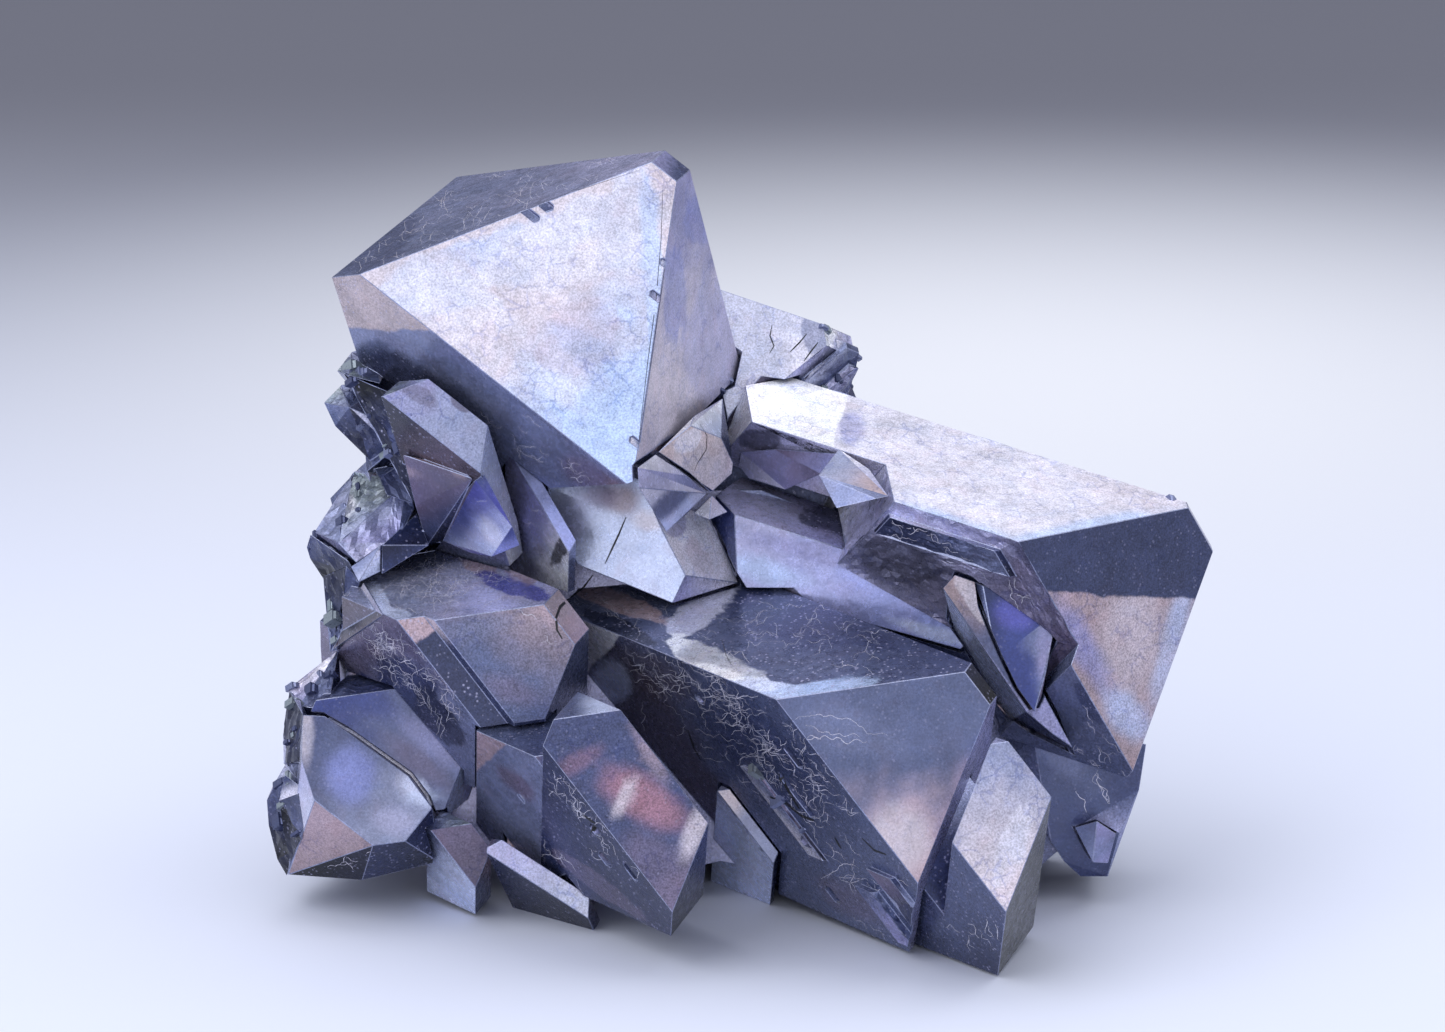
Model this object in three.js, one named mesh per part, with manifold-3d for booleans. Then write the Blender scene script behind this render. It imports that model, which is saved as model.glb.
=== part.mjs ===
// A cluster of grown-together galena crystals, in millimetres, standing on the flat cut of its base.
// Most crystals are octahedra: eight flat faces, each set at its own distance from the crystal's
// nose, the corner where its front, roof and left faces meet, with small square cuts at some corners.
// The small broken and wedge-shaped ones are given by their corner points instead.
// All are set out in the frame of the showing side, x to the right, y into depth and z upwards,
// and the whole cluster then leans forward by LEAN so that it stands on the floor.

import * as THREE from 'three';
import { mergeVertices } from 'three/addons/utils/BufferGeometryUtils.js';
import { ConvexGeometry } from 'three/addons/geometries/ConvexGeometry.js';
import Module from 'manifold-3d';

const LEAN = 15;              // degrees between the showing side and upright
const FLOOR = -33.0;          // height of the resting cut below the middle of the showing side
const SEAM_WIDTH = 0.3;       // open line between two crystals that grew into each other
const SEAM_DEPTH = 1.0;       // how far that line reaches in

// How a crystal is turned: to the right, downwards, then rolled, in degrees.
const SUMMIT_TURN = [3, -8, 21.5];
const HOUSE_TURN = [8, 2, 8];
const EAST_TURN = [35, 6, 9];
const SLAB_TURN = [5, 0, 27];

// Nose position, turn, and the distance of each face from the nose; a negative one lies short of it.
// A lobe is a growth of the same crystal with some faces at other distances.
// A crystal later in the list lies over the earlier ones.
const CRYSTALS = {
  behind: {
    nose: [1.6, 22, 17.0], turn: [4, -20, -20],
    faces: { front: 0, roof: 0, left: 3, right: 6.8, back: 8, floor: 12, farRight: 9, farLeft: 3, tip: 4.6 },
    lobes: [
      { front: -1.4, right: 7.1, roof: -0.7, tip: 5.2 },
      { front: -3.4, right: 7.6, roof: -2.2, tip: 5.6 },
    ],
  },
  summit: {
    nose: [-26.9, 0, 17.9], turn: SUMMIT_TURN,
    faces: { front: 0, roof: 0, left: 0, right: 21, back: 25, floor: 20.6, farRight: 21.6, farLeft: 3.0,
      tip: 16.5 },
  },
  east: {
    nose: [21.9, 0, -1.9], turn: EAST_TURN,
    faces: { front: 0, roof: 0, left: 0, right: 16.8, back: 28, floor: 19, farRight: 14.1, farLeft: 8.3,
      tip: 11.5 },
    lobes: [
      { left: -5.2, farLeft: 17.5, right: 4, floor: 5 },
      { left: 0.5, front: -1.8, roof: -1.3, floor: 3.4, farLeft: 8 },
      { left: 1.3, roof: -8.2, farLeft: -8.2 },
    ],
  },
  spur: {
    corners: [
      [20.4, 14, -14.1], [23.4, 13, -14.9], [32.3, 13, -17.4], [31.8, 13.5, -20.9], [30.4, 14, -24.1],
      [29.5, 15, -27.6], [27.4, 15, -27.6], [26.1, 14.5, -26.4], [25.1, 14, -24.9], [24.6, 14, -18.6],
      [31.9, 26, -21.5], [29.4, 24, -26.8], [26.3, 24, -26.1], [21.7, 26, -16.0], [32.6, 26, -18.3],
    ],
  },
  spurTip: {
    corners: [
      [26.8, 12.2, -23.7], [28.5, 12, -23.2], [30.0, 12.8, -24.2], [29.4, 13.2, -26.5],
      [28.2, 12.6, -26.4], [28.4, 20, -24.6],
    ],
  },
  strip: {
    corners: [
      [0.9, 12.4, 0.1], [8.2, 11.2, -2.2], [16.1, 9.9, -4.8], [19.0, 9.7, -9.2], [18.0, 10.0, -10.1],
      [9.7, 11.4, -7.5], [1.9, 12.8, -5.6], [1.1, 12.8, -4.3], [-0.5, 14.6, 1.6], [1.4, 17.9, 3.0],
      [4.8, 17.5, 1.8], [9.8, 16.5, 0.1], [16.2, 12.5, -3.5], [-0.9, 15.4, -0.3], [0.7, 16.5, -4.0],
      [2.9, 26, -1.9], [18.4, 20, -9.6], [18.4, 20, -6.5],
    ],
  },
  blade: {
    corners: [
      [16.5, 4.7, -5.4], [17.4, 4.9, -4.4], [19.7, 5.3, -5.2], [26.3, 6.6, -17.4], [24.7, 6.2, -16.3],
      [22.8, 5.8, -14.7], [18.1, 14, -10.2], [22.0, 14, -15.6], [25.8, 14, -17.5], [20.1, 14, -5.6],
    ],
  },
  blueFacet: {
    corners: [
      [18.9, 5.6, -5.0], [19.5, 5.1, -5.2], [20.1, 5.0, -8.5], [20.9, 5.0, -10.4], [22.1, 5.2, -12.9],
      [23.4, 5.5, -14.7], [23.9, 5.8, -13.7], [24.4, 5.4, -11.1], [25.1, 5.2, -7.2], [22.3, 5.4, -5.5],
      [22.8, 16, -9.5],
    ],
  },
  centre: {
    nose: [3.9, -6, -13.4], turn: HOUSE_TURN,
    faces: { front: 0, roof: 0, left: 0, right: 14.1, back: 26, floor: 22.6, farRight: 12.9, farLeft: 20.8,
      tip: 10 },
    lobes: [
      { left: 0.4, front: -2.4, back: 4.6, roof: -14.5 },
      { left: 0.5, front: -6.2, back: 7.8, roof: -17, floor: 21.5 },
      { left: 0.3, front: -10, back: 11.4, roof: -9, floor: 16 },
    ],
  },
  west: {
    nose: [-21.1, 2, -7.7], turn: HOUSE_TURN,
    faces: { front: 0, roof: 0, left: 0.3, right: 9.6, back: 16, floor: 12.5, farRight: 8.9, farLeft: 7.5,
      tip: 5.6, foot: 6.9 },
    lobes: [
      { front: -1, left: 2, farLeft: 8.6, floor: 16, back: 23, foot: 20 },
      { front: -3, left: 2, roof: -4, farLeft: 11, floor: 16, back: 27, foot: 20 },
    ],
  },
  rose: {
    nose: [-30.3, 11, -13.9], turn: [6, -4, 8],
    faces: { front: 0, roof: 0, left: 3, right: 11, back: 12, floor: 10, farRight: 9, farLeft: 0.5 },
  },
  lilac: {
    nose: [-24.9, 2, 8.6], turn: SUMMIT_TURN,
    faces: { front: 0, roof: 0.4, left: 0, right: 7.2, back: 18, floor: 16, farRight: 3, farLeft: 0.6 },
  },
  chip: {
    nose: [-15.3, 8.5, 5.4], turn: HOUSE_TURN,
    faces: { front: 0, roof: 0, left: 0, right: 2.9, back: 12, floor: 6, farRight: 4, farLeft: 1 },
  },
  rim: {
    nose: [-16.1, 7, 5.0], turn: [3, -8, 0],
    faces: { front: 0, roof: 0.3, left: 0, right: 7.4, back: 16, floor: 11, farRight: 0.9, farLeft: 0.4 },
  },
  crook: {
    corners: [
      [-4.9, 3.2, 4.7], [-2.4, 6.9, 6.8], [-2.1, 8.6, 7.6], [0, 14, 9.0], [0, 12.5, 7.6],
      [-0.1, 10, 5.9], [0.8, 11.2, 4.0], [0.7, 11, 3.2], [-0.7, 9.0, 1.9], [-1.2, 8.4, 1.7],
      [-2.6, 6.4, 3.0], [-0.2, 24, 5.1], [-1.7, 22, 3.6],
    ],
  },
  streak: {
    corners: [
      [-6.3, -0.4, 3.6], [-5.0, 2.8, 4.6], [-2.6, 6.2, 3.0], [-1.2, 8.2, 1.7], [-2.0, 7.6, 0.8],
      [-4.2, 4.6, -1.2], [-6.2, -0.4, 2.1], [-4.1, 20, 2.8],
    ],
  },
  pale: {
    corners: [
      [-13.5, 11.1, 2.3], [-12.0, 11, 3.7], [-8.9, 10.6, 4.0], [-6.2, 10.2, 2.7], [-4.4, 9.9, -1.4],
      [-2.8, 10, -4.5], [-3.8, 10.3, -6.6], [-11.0, 11, -3.7], [-12.2, 11.2, -2.4], [-12.6, 11.2, -0.7],
      [-2.3, 13, 0.2], [-1.0, 14, -0.3], [-0.3, 13.9, -2.2], [1.2, 14, -5.1],
      [-9.5, 20, -0.3], [-3.3, 20, -5.7], [-0.2, 20, -3.4],
    ],
  },
  corner: {
    corners: [
      [-31.6, 8, -15.0], [-30.0, 8.2, -15.1], [-23.7, 8.3, -19.6], [-21.9, 8.1, -22.0],
      [-23.9, 7.4, -24.5], [-26.3, 7, -24.8], [-30.7, 7, -21.4], [-31.7, 7.4, -18.4],
      [-33.2, 14, -27.4], [-27.4, 12, -27.7], [-21.6, 12, -26.3], [-21.6, 12, -23.9],
      [-32.6, 20, -20.0], [-31.6, 20, -15.6], [-24.0, 20, -20.0], [-32.5, 20, -26.5], [-22.0, 20, -26.0],
    ],
  },
  keel: {
    nose: [-12.9, -4, -17.25], turn: HOUSE_TURN,
    faces: { front: 0, roof: 2.1, left: 0, right: 12.4, back: 20, floor: 15.4, farRight: 5.8, farLeft: 0.4 },
    lobes: [{ front: -3, roof: -1.5, left: -0.2, farLeft: 7 }],
  },
  nub: {
    nose: [-0.2, 10, -21.1], turn: HOUSE_TURN,
    faces: { front: 0, roof: 0.3, left: 0, right: 5.5, back: 14, floor: 13, farRight: 0.8, farLeft: 0.3 },
  },
  stub: {
    nose: [-22.1, 9, -23.7], turn: HOUSE_TURN,
    faces: { front: 0, roof: 0, left: 0, right: 4.6, back: 14, floor: 8, farRight: 2.6, farLeft: 0.4 },
  },
  sliver: {
    nose: [-17.5, 8, -25.6], turn: SLAB_TURN,
    faces: { front: 0, roof: 0.6, left: 0, right: 7.2, back: 9, floor: 9, farRight: 1.4, farLeft: 0.3 },
    lobes: [{ front: -5, roof: -1, farRight: 4.5, right: 6 }],
  },
  wedge: {
    nose: [15.8, -8, -22.6], turn: [8, -1, 8],
    faces: { front: 0, roof: 5.1, left: 0, right: 6.5, back: 17, floor: 13.7, farRight: 7.4, farLeft: -1.2 },
    lobes: [{ front: -8, farLeft: 3.5, roof: 2 }],
  },
};

// Broken lumps between and beside the crystals: across, into depth and up, three numbers a corner.
const LUMPS = {
  cap: [
    [-29.2, 10, 11.0], [-28.2, 12, 12.5], [-26.8, 13.5, 13.0], [-25.4, 14, 12.0],
    [-25.8, 8, 10.0], [-28.2, 7.5, 10.6], [-27.4, 13, 8.6],
  ],
  shoulder: [
    [-30.2, 10, 8.6], [-29.0, 12, 10.0], [-28.2, 8.5, 8.2], [-24.2, 9, 6.4], [-23.2, 11, 3.4],
    [-26.8, 12, 4.2], [-29.4, 11, 6.8], [-26.5, 19, 7.4], [-25.0, 14, 10.4],
  ],
  streakedStrip: [
    [-28.6, 8, 10.8], [-25.2, 6.5, 9.4], [-22.8, 7.5, 2.6], [-23.4, 9, 1.0], [-25.8, 8.5, 6.2],
    [-24.8, 17, 6.6],
  ],
  greyBlock: [
    [-31.0, 11, -1.2], [-28.4, 13.5, 1.2], [-28.2, 14, 3.4], [-26.8, 15, 3.9], [-24.0, 12, 2.6],
    [-23.4, 11, 0.6], [-24.6, 9, -2.0], [-27.6, 8, -3.5], [-29.0, 8.5, -2.0], [-29.6, 15, -4.8],
    [-24.8, 19, -3.4],
  ],
  pittedKnob: [
    [-26.8, 13, 3.9], [-24.8, 11, 3.7], [-23.4, 10, 0.9], [-25.4, 9.5, 1.6], [-26.0, 10, 3.0],
    [-25.2, 18, 2.8],
  ],
  overhang: [
    [-31.6, 11.5, -2.4], [-31.2, 10, -1.4], [-28.2, 8, -3.4], [-27.4, 8.5, -5.0], [-30.3, 13, -5.0],
    [-31.4, 12, -3.2], [-28.8, 19, -6.4], [-30.0, 18, -2.2],
  ],
  column: [
    [-30.4, 12, -4.6], [-28.4, 8.6, -3.8], [-27.4, 8.6, -5.0], [-29.4, 13, -10.2], [-30.0, 14, -10.4],
    [-30.2, 13, -7.2], [-28.8, 19, -6.4], [-28.6, 19, -10.0],
  ],
  whiteFacet: [
    [-25.8, 8, -2.2], [-25.8, 8.5, -4.2], [-27.4, 7.5, -5.0], [-28.0, 8, -3.8], [-24.6, 12, -1.8],
    [-26.4, 17, -3.8],
  ],
  darkFacet: [
    [-25.7, 8.3, -2.2], [-23.2, 11, 0.2], [-22.2, 9.5, -2.2], [-25.7, 8, -4.4], [-23.8, 16, -2.5],
  ],
  streakedFacets: [
    [-24.0, 6, 4.6], [-20.2, 4.4, 3.8], [-18.6, 2.6, 2.8], [-20.6, 8, -0.3], [-21.2, 11, -1.9],
    [-22.4, 11, -2.2], [-23.2, 8.6, 0.8], [-21.7, 17, 1.2],
  ],
  violetFacet: [
    [-21.2, 11, -1.9], [-20.8, 8, 0.4], [-18.4, 2.4, 2.7], [-17.7, 1.6, 3.1], [-15.7, 4.2, -0.8],
    [-15.2, 5.6, -2.2], [-17.4, 8.5, -3.1], [-19.1, 10, -2.8], [-18.7, 18, -0.3],
  ],
  brownFacet: [
    [-27.1, 8.4, -5.0], [-25.3, 2.7, -7.4], [-29.8, 13.6, -10.2], [-27.8, 9.5, -6.2], [-26.8, 18, -6.4],
    [-28.7, 20, -9.6],
  ],
  plateTop: [
    [-33.0, 13, -13.3], [-32.1, 12, -14.0], [-31.7, 9, -15.0], [-31.6, 8.4, -18.6],
    [-33.4, 12, -18.9], [-33.5, 13, -16.7], [-33.3, 13, -14.9], [-31.0, 19, -17.3],
  ],
  plateOuter: [
    [-33.2, 11.5, -18.8], [-34.3, 13, -20.6], [-34.8, 13.5, -21.7], [-34.7, 14, -23.6],
    [-34.1, 15, -26.3], [-33.4, 15.5, -27.6], [-32.5, 12, -25.4], [-31.6, 9.5, -20.7],
    [-31.5, 10, -18.6], [-31.8, 19, -23.6],
  ],
  plateInner: [
    [-33.2, 10.5, -19.6], [-33.7, 11.5, -21.6], [-33.4, 12.5, -24.3], [-32.9, 13, -26.2],
    [-31.9, 10.2, -24.5], [-31.4, 8.2, -20.7], [-31.6, 18, -23.0],
  ],
  brightTip: [
    [-0.8, 9.6, 1.6], [-1.0, 9.6, -0.3], [-2.2, 10.1, 0.2], [0.4, 11.2, 0.3], [-0.8, 18, 0.6],
  ],
  eastUnderFacet: [
    [1.4, 15.2, 4.9], [4.0, 13.2, 5.1], [8.9, 10.4, 4.7], [7.5, 11.8, 3.2], [4.8, 14.2, 2.0],
    [2.0, 16, 2.9], [1.2, 16, 3.9], [5.3, 24, 4.0],
  ],
  eastEndFacet: [
    [8.8, 10.2, 5.1], [11.1, 7.6, 3.5], [12.4, 3.8, 1.5], [11.5, 3.6, 1.3], [8.5, 4.4, 0.6],
    [7.2, 6.4, 3.1], [9.8, 16, 3.5],
  ],
  eastChip: [
    [8.6, 4.6, 0.4], [10.9, 4.2, 1.1], [10.5, 6, 0.1], [9.2, 7, -0.3], [9.6, 12, 0.6],
  ],
  recess: [
    [-5, 21, 1], [-5, 21, 7], [10, 20, 6], [10, 20, -2],
    [-5, 32, 1], [-5, 32, 7], [10, 32, 6], [10, 32, -2],
  ],
  ledge: [
    [-33.2, 14, -13.2], [-32.2, 15, -12.8], [-30.6, 15, -12.8], [-29.4, 15, -10.2],
    [-29.4, 15, -13.2], [-30.0, 11, -14.8], [-32.2, 12, -14.4], [-32.8, 14, -16.0], [-29.6, 19, -13.8],
    [-29.0, 15, -16.6],
  ],
};

// Small broken blocks beside the crystal behind and under the left side: position and half an edge.
const EDGE_BLOCKS = [
  [-24.6, 14, 9.0, 2.0], [-24.0, 13, 6.0, 2.4], [-25.6, 15, -1.0, 2.6],
  [7.8, 26, 11.0, 1.4], [8.8, 27, 9.6, 1.2],
];

// Pits, slots and chipped edges: the crystal, the place, half the length along its slope and half the width.
const NICKS = [
  ['centre', [5.2, -1.9, -17.8], 0.9, 0.4],
  ['centre', [5.5, 1.9, -20.8], 1.8, 0.4],
  ['centre', [6.4, 5.4, -24.3], 0.5, 0.35],
  ['centre', [8.3, 8.4, -28.6], 0.7, 0.4],
  ['centre', [-1.7, 3.9, -13.7], 0.4, 0.35],
  ['keel', [-9.4, -1.3, -23.2], 0.5, 0.5],
  ['keel', [-8.7, 0.9, -25.5], 0.6, 0.4],
  ['keel', [-6.8, -1.2, -26.3], 0.7, 0.3],
  ['keel', [-15.2, 5.7, -21.3], 0.4, 0.35],
  ['west', [-23.1, 13.4, -13.3], 0.5, 0.4],
  ['summit', [-13.1, 1.4, 23.1], 0.5, 0.35],
  ['summit', [-14.5, 1.3, 22.6], 0.9, 0.3],
  ['summit', [-4.3, 1.3, 18.8], 0.35, 0.25],
  ['summit', [-4.9, 0.9, 16.3], 0.5, 0.25],
  ['summit', [-6.2, -0.7, 5.3], 0.7, 0.25],
];

// Outline of the broken body behind the crystals, across and up, kept inside what shows from the front.
const BODY_OUTLINE = [
  [-26.0, 15.5], [-7.5, 22.0], [-6.5, 9.0], [-4.0, 4.0], [-1.0, 2.0], [3.0, 2.0], [8.0, 0.0],
  [12.5, -1.5], [21.5, -3.5], [33.0, -1.6], [29.4, -16.6], [26.9, -24.7], [21.3, -29.5], [13.1, -30.5],
  [8.7, -28.0], [-0.2, -26.5], [-9.1, -28.5], [-16.5, -25.5], [-23.9, -24.7], [-31.0, -24.5],
  [-29.8, -15.1], [-27.6, -7.7], [-28.0, -2.5], [-26.1, 1.2], [-25.7, 5.6], [-27.0, 8.6],
];
const BODY_FRONT = 16;        // depth at which the body begins behind the crystals
const BODY_BACK = 27;         // depth it reaches before the broken blocks
const BLOCK_PITCH = 9.5;      // spacing of the cleavage blocks across the broken back
const BLOCK_HALF = 6.2;       // half the usual edge of one block
const BLOCK_DEPTH = 25;       // depth of the block centres at the middle of the back

const STEEP = Math.sqrt(8) / 3;
const ASIDE = Math.sqrt(6) / 3;
const FRONT = new THREE.Vector3(0, -1, 0);
const ROOF = new THREE.Vector3(0, -1 / 3, STEEP);
const LEFT = new THREE.Vector3(-ASIDE, -1 / 3, -STEEP / 2);
const RIGHT = new THREE.Vector3(ASIDE, -1 / 3, -STEEP / 2);

function sum(...directions) {
  const total = new THREE.Vector3();
  for (const direction of directions) total.add(direction);
  return total.normalize();
}

function against(direction) {
  return direction.clone().negate();
}

const NORMALS = {
  front: FRONT,
  roof: ROOF,
  left: LEFT,
  right: RIGHT,
  back: against(FRONT),
  floor: against(ROOF),
  farRight: against(LEFT),
  farLeft: against(RIGHT),
  nose: sum(FRONT, ROOF, LEFT, against(RIGHT)),
  tip: sum(FRONT, ROOF, RIGHT, against(LEFT)),
  foot: sum(FRONT, LEFT, RIGHT, against(ROOF)),
  tail: sum(against(FRONT), against(ROOF), against(LEFT), RIGHT),
  heel: sum(against(FRONT), against(ROOF), against(RIGHT), LEFT),
  crown: sum(against(FRONT), against(LEFT), against(RIGHT), ROOF),
};

function turnOf([right, down, roll]) {
  const rad = THREE.MathUtils.degToRad;
  const rolled = new THREE.Matrix4().makeRotationY(-rad(roll));
  const tipped = new THREE.Matrix4().makeRotationX(rad(down));
  const turned = new THREE.Matrix4().makeRotationZ(rad(right));
  return turned.multiply(tipped).multiply(rolled);
}

function planesOf(crystal, faces, grow) {
  const turn = turnOf(crystal.turn);
  const nose = new THREE.Vector3(...crystal.nose);
  return Object.entries(faces).map(([name, distance]) => {
    const normal = NORMALS[name].clone().transformDirection(turn);
    return new THREE.Plane(normal, -(normal.dot(nose) + distance + grow));
  });
}

// The corner points of the space that lies behind every plane.
function cornersOf(planes) {
  const corners = [];
  for (let i = 0; i < planes.length; i += 1) {
    for (let j = i + 1; j < planes.length; j += 1) {
      for (let k = j + 1; k < planes.length; k += 1) {
        const point = meeting(planes[i], planes[j], planes[k]);
        const inside = point && planes.every((plane) => plane.distanceToPoint(point) < 1e-6);
        if (inside && !corners.some((other) => other.distanceTo(point) < 1e-5)) corners.push(point);
      }
    }
  }
  return corners;
}

function meeting(a, b, c) {
  const cross = new THREE.Vector3().crossVectors(b.normal, c.normal);
  const size = a.normal.dot(cross);
  if (Math.abs(size) < 1e-6) return null;
  const point = cross.multiplyScalar(-a.constant);
  point.addScaledVector(new THREE.Vector3().crossVectors(c.normal, a.normal), -b.constant);
  point.addScaledVector(new THREE.Vector3().crossVectors(a.normal, b.normal), -c.constant);
  return point.divideScalar(size);
}

const wasm = await Module();
wasm.setup();

function solidOf(geometry) {
  const bare = new THREE.BufferGeometry();
  bare.setAttribute('position', geometry.getAttribute('position'));
  if (geometry.index) bare.setIndex(geometry.index);
  const merged = mergeVertices(bare, 1e-5);
  return new wasm.Manifold(new wasm.Mesh({
    numProp: 3,
    vertProperties: new Float32Array(merged.getAttribute('position').array),
    triVerts: new Uint32Array(merged.index.array),
  }));
}

function geometryOf(solid) {
  const mesh = solid.getMesh();
  const geometry = new THREE.BufferGeometry();
  geometry.setAttribute('position', new THREE.BufferAttribute(new Float32Array(mesh.vertProperties), 3));
  geometry.setIndex(new THREE.BufferAttribute(new Uint32Array(mesh.triVerts), 1));
  return geometry;
}

function octahedron(crystal, faces, grow) {
  return solidOf(new ConvexGeometry(cornersOf(planesOf(crystal, faces, grow))));
}

function hull(corners) {
  return new ConvexGeometry(corners.map((corner) => new THREE.Vector3(...corner)));
}

// The planes of a broken lump, moved outwards by grow.
function planesAround(geometry, grow) {
  const points = geometry.getAttribute('position');
  const planes = [];
  for (let first = 0; first < points.count; first += 3) {
    const [a, b, c] = [0, 1, 2].map((step) => new THREE.Vector3().fromBufferAttribute(points, first + step));
    const plane = new THREE.Plane().setFromCoplanarPoints(a, b, c);
    plane.constant -= grow;
    planes.push(plane);
  }
  return planes;
}

function lump(corners, grow) {
  return solidOf(new ConvexGeometry(cornersOf(planesAround(hull(corners), grow))));
}

function crystalSolid(crystal, grow) {
  if (crystal.corners) return lump(crystal.corners, grow);
  let solid = octahedron(crystal, crystal.faces, grow);
  for (const lobe of crystal.lobes ?? []) {
    solid = solid.add(octahedron(crystal, { ...crystal.faces, ...lobe }, grow));
  }
  return solid;
}

// Crystals later in the list lie over the earlier ones; an open seam runs around each.
function fusedCrystals(crystals) {
  const all = Object.values(crystals);
  let cluster = null;
  all.forEach((crystal, index) => {
    let piece = crystalSolid(crystal, 0);
    for (const over of all.slice(index + 1)) piece = piece.subtract(crystalSolid(over, SEAM_WIDTH));
    piece = piece.add(crystalSolid(crystal, -SEAM_DEPTH));
    cluster = cluster ? cluster.add(piece) : piece;
  });
  return cluster;
}

// A repeatable series of numbers between 0 and 1.
function series(seed) {
  let state = seed;
  return () => {
    state = (state * 16807) % 2147483647;
    return state / 2147483647;
  };
}

// The outline carried straight back between two depths.
function bodyOutline(front, back) {
  const shape = new THREE.Shape(BODY_OUTLINE.map(([across, up]) => new THREE.Vector2(across, up)));
  const geometry = new THREE.ExtrudeGeometry(shape, { depth: back - front, bevelEnabled: false });
  geometry.rotateX(Math.PI / 2);
  geometry.translate(0, back, 0);
  return geometry;
}

// Galena breaks into cubes, so the broken back is a pile of square blocks, corner outwards.
function brokenBack() {
  const next = series(41);
  let pile = null;
  for (let across = -30; across <= 34; across += BLOCK_PITCH) {
    for (let up = -26; up <= 22; up += BLOCK_PITCH) {
      const fall = 0.011 * across * across + 0.005 * up * up;
      const half = () => BLOCK_HALF * (0.8 + 0.5 * next());
      const block = {
        nose: [across + 2 * next(), BLOCK_DEPTH - fall + 3 * next(), up + 2 * next()], turn: HOUSE_TURN,
        faces: { nose: half(), tip: half(), foot: half(), tail: half(), heel: half(), crown: half() },
      };
      const solid = octahedron(block, block.faces, 0);
      pile = pile ? pile.add(solid) : solid;
    }
  }
  return pile;
}

function nick([name, place, long, wide]) {
  const hole = { nose: place, turn: CRYSTALS[name].turn };
  const across = { front: wide, back: wide, left: wide, farRight: wide };
  const along = { roof: long, floor: long, right: long, farLeft: long };
  return octahedron(hole, { ...across, ...along }, 0);
}

function nicked(solid) {
  return NICKS.reduce((left, entry) => left.subtract(nick(entry)), solid);
}

function edgeBlocks() {
  const next = series(7);
  const lumps = Object.values(LUMPS).map((corners) => solidOf(hull(corners)));
  let pile = lumps.reduce((all, one) => all.add(one));
  for (const [across, depth, up, half] of EDGE_BLOCKS) {
    const block = {
      nose: [across, depth, up], turn: [40 * next() - 12, 30 * next() - 15, 40 * next() - 12],
      faces: { nose: half, tip: half, foot: half, tail: half, heel: half, crown: half * 1.6 },
    };
    pile = pile.add(octahedron(block, block.faces, 0));
  }
  return pile;
}

function brokenBody() {
  const core = solidOf(bodyOutline(BODY_FRONT, BODY_BACK)).add(edgeBlocks());
  const reach = solidOf(bodyOutline(BODY_FRONT, 60));
  return core.add(brokenBack().intersect(reach));
}

function namedMesh(name, geometry, colour) {
  const flat = geometry.index ? geometry.toNonIndexed() : geometry;
  flat.computeVertexNormals();
  const material = new THREE.MeshStandardMaterial({ color: colour, metalness: 0.8, roughness: 0.3 });
  material.name = name;
  const mesh = new THREE.Mesh(flat, material);
  mesh.name = name;
  return mesh;
}

// Leans the cluster forward and cuts it off flat at the floor.
function standUp(solid) {
  const geometry = geometryOf(solid);
  geometry.rotateX(-THREE.MathUtils.degToRad(LEAN));
  geometry.translate(0, 0, -FLOOR);
  const under = new THREE.BoxGeometry(200, 200, 20);
  under.translate(0, 0, -10);
  return oneBody(solidOf(geometry).subtract(solidOf(under)));
}

// Moves the middle of the base to the origin.
function centred(geometry) {
  geometry.computeBoundingBox();
  const middle = geometry.boundingBox.getCenter(new THREE.Vector3());
  return geometry.translate(-middle.x, -middle.y, -geometry.boundingBox.min.z);
}

// The one body of a solid; the specks that the cutting leaves loose or closed in are dropped.
function oneBody(solid) {
  const bodies = solid.decompose();
  return bodies.reduce((most, body) => (body.volume() > most.volume() ? body : most));
}

const part = new THREE.Group();
part.name = 'galena_specimen';
const galena = nicked(fusedCrystals(CRYSTALS).add(brokenBody()));
part.add(namedMesh('galena_cluster', centred(geometryOf(standUp(galena))), 0x8f97a8));
export default part;
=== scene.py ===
"""Looks of the galena cluster: bright, tarnished and veined metallic crystal faces, whose painted tones also
hold painted reflections, highlights and shade.
"""

import math
import random
from collections import namedtuple

import bmesh
import bpy
import numpy as np
from mathutils import Matrix, Vector, noise
from mathutils.bvhtree import BVHTree


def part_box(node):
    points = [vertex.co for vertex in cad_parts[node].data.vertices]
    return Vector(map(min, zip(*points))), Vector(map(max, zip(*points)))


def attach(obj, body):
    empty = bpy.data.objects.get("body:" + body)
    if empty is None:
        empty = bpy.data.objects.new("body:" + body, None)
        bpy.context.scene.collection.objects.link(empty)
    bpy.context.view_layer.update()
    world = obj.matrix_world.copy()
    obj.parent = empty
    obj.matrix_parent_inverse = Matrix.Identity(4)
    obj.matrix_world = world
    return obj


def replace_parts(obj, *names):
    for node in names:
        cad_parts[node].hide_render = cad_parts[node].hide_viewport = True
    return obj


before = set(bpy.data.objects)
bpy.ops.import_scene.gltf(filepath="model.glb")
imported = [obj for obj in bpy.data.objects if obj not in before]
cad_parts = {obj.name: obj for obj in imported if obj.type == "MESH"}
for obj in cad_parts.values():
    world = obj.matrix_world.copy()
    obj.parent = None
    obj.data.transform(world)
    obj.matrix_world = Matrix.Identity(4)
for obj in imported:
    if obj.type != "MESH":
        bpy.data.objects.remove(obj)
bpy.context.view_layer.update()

MM = 0.001
VEIN_SEED, CHIP_SEED, FACET_SEED = 5, 11, 7919      # where the random draws start

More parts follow.
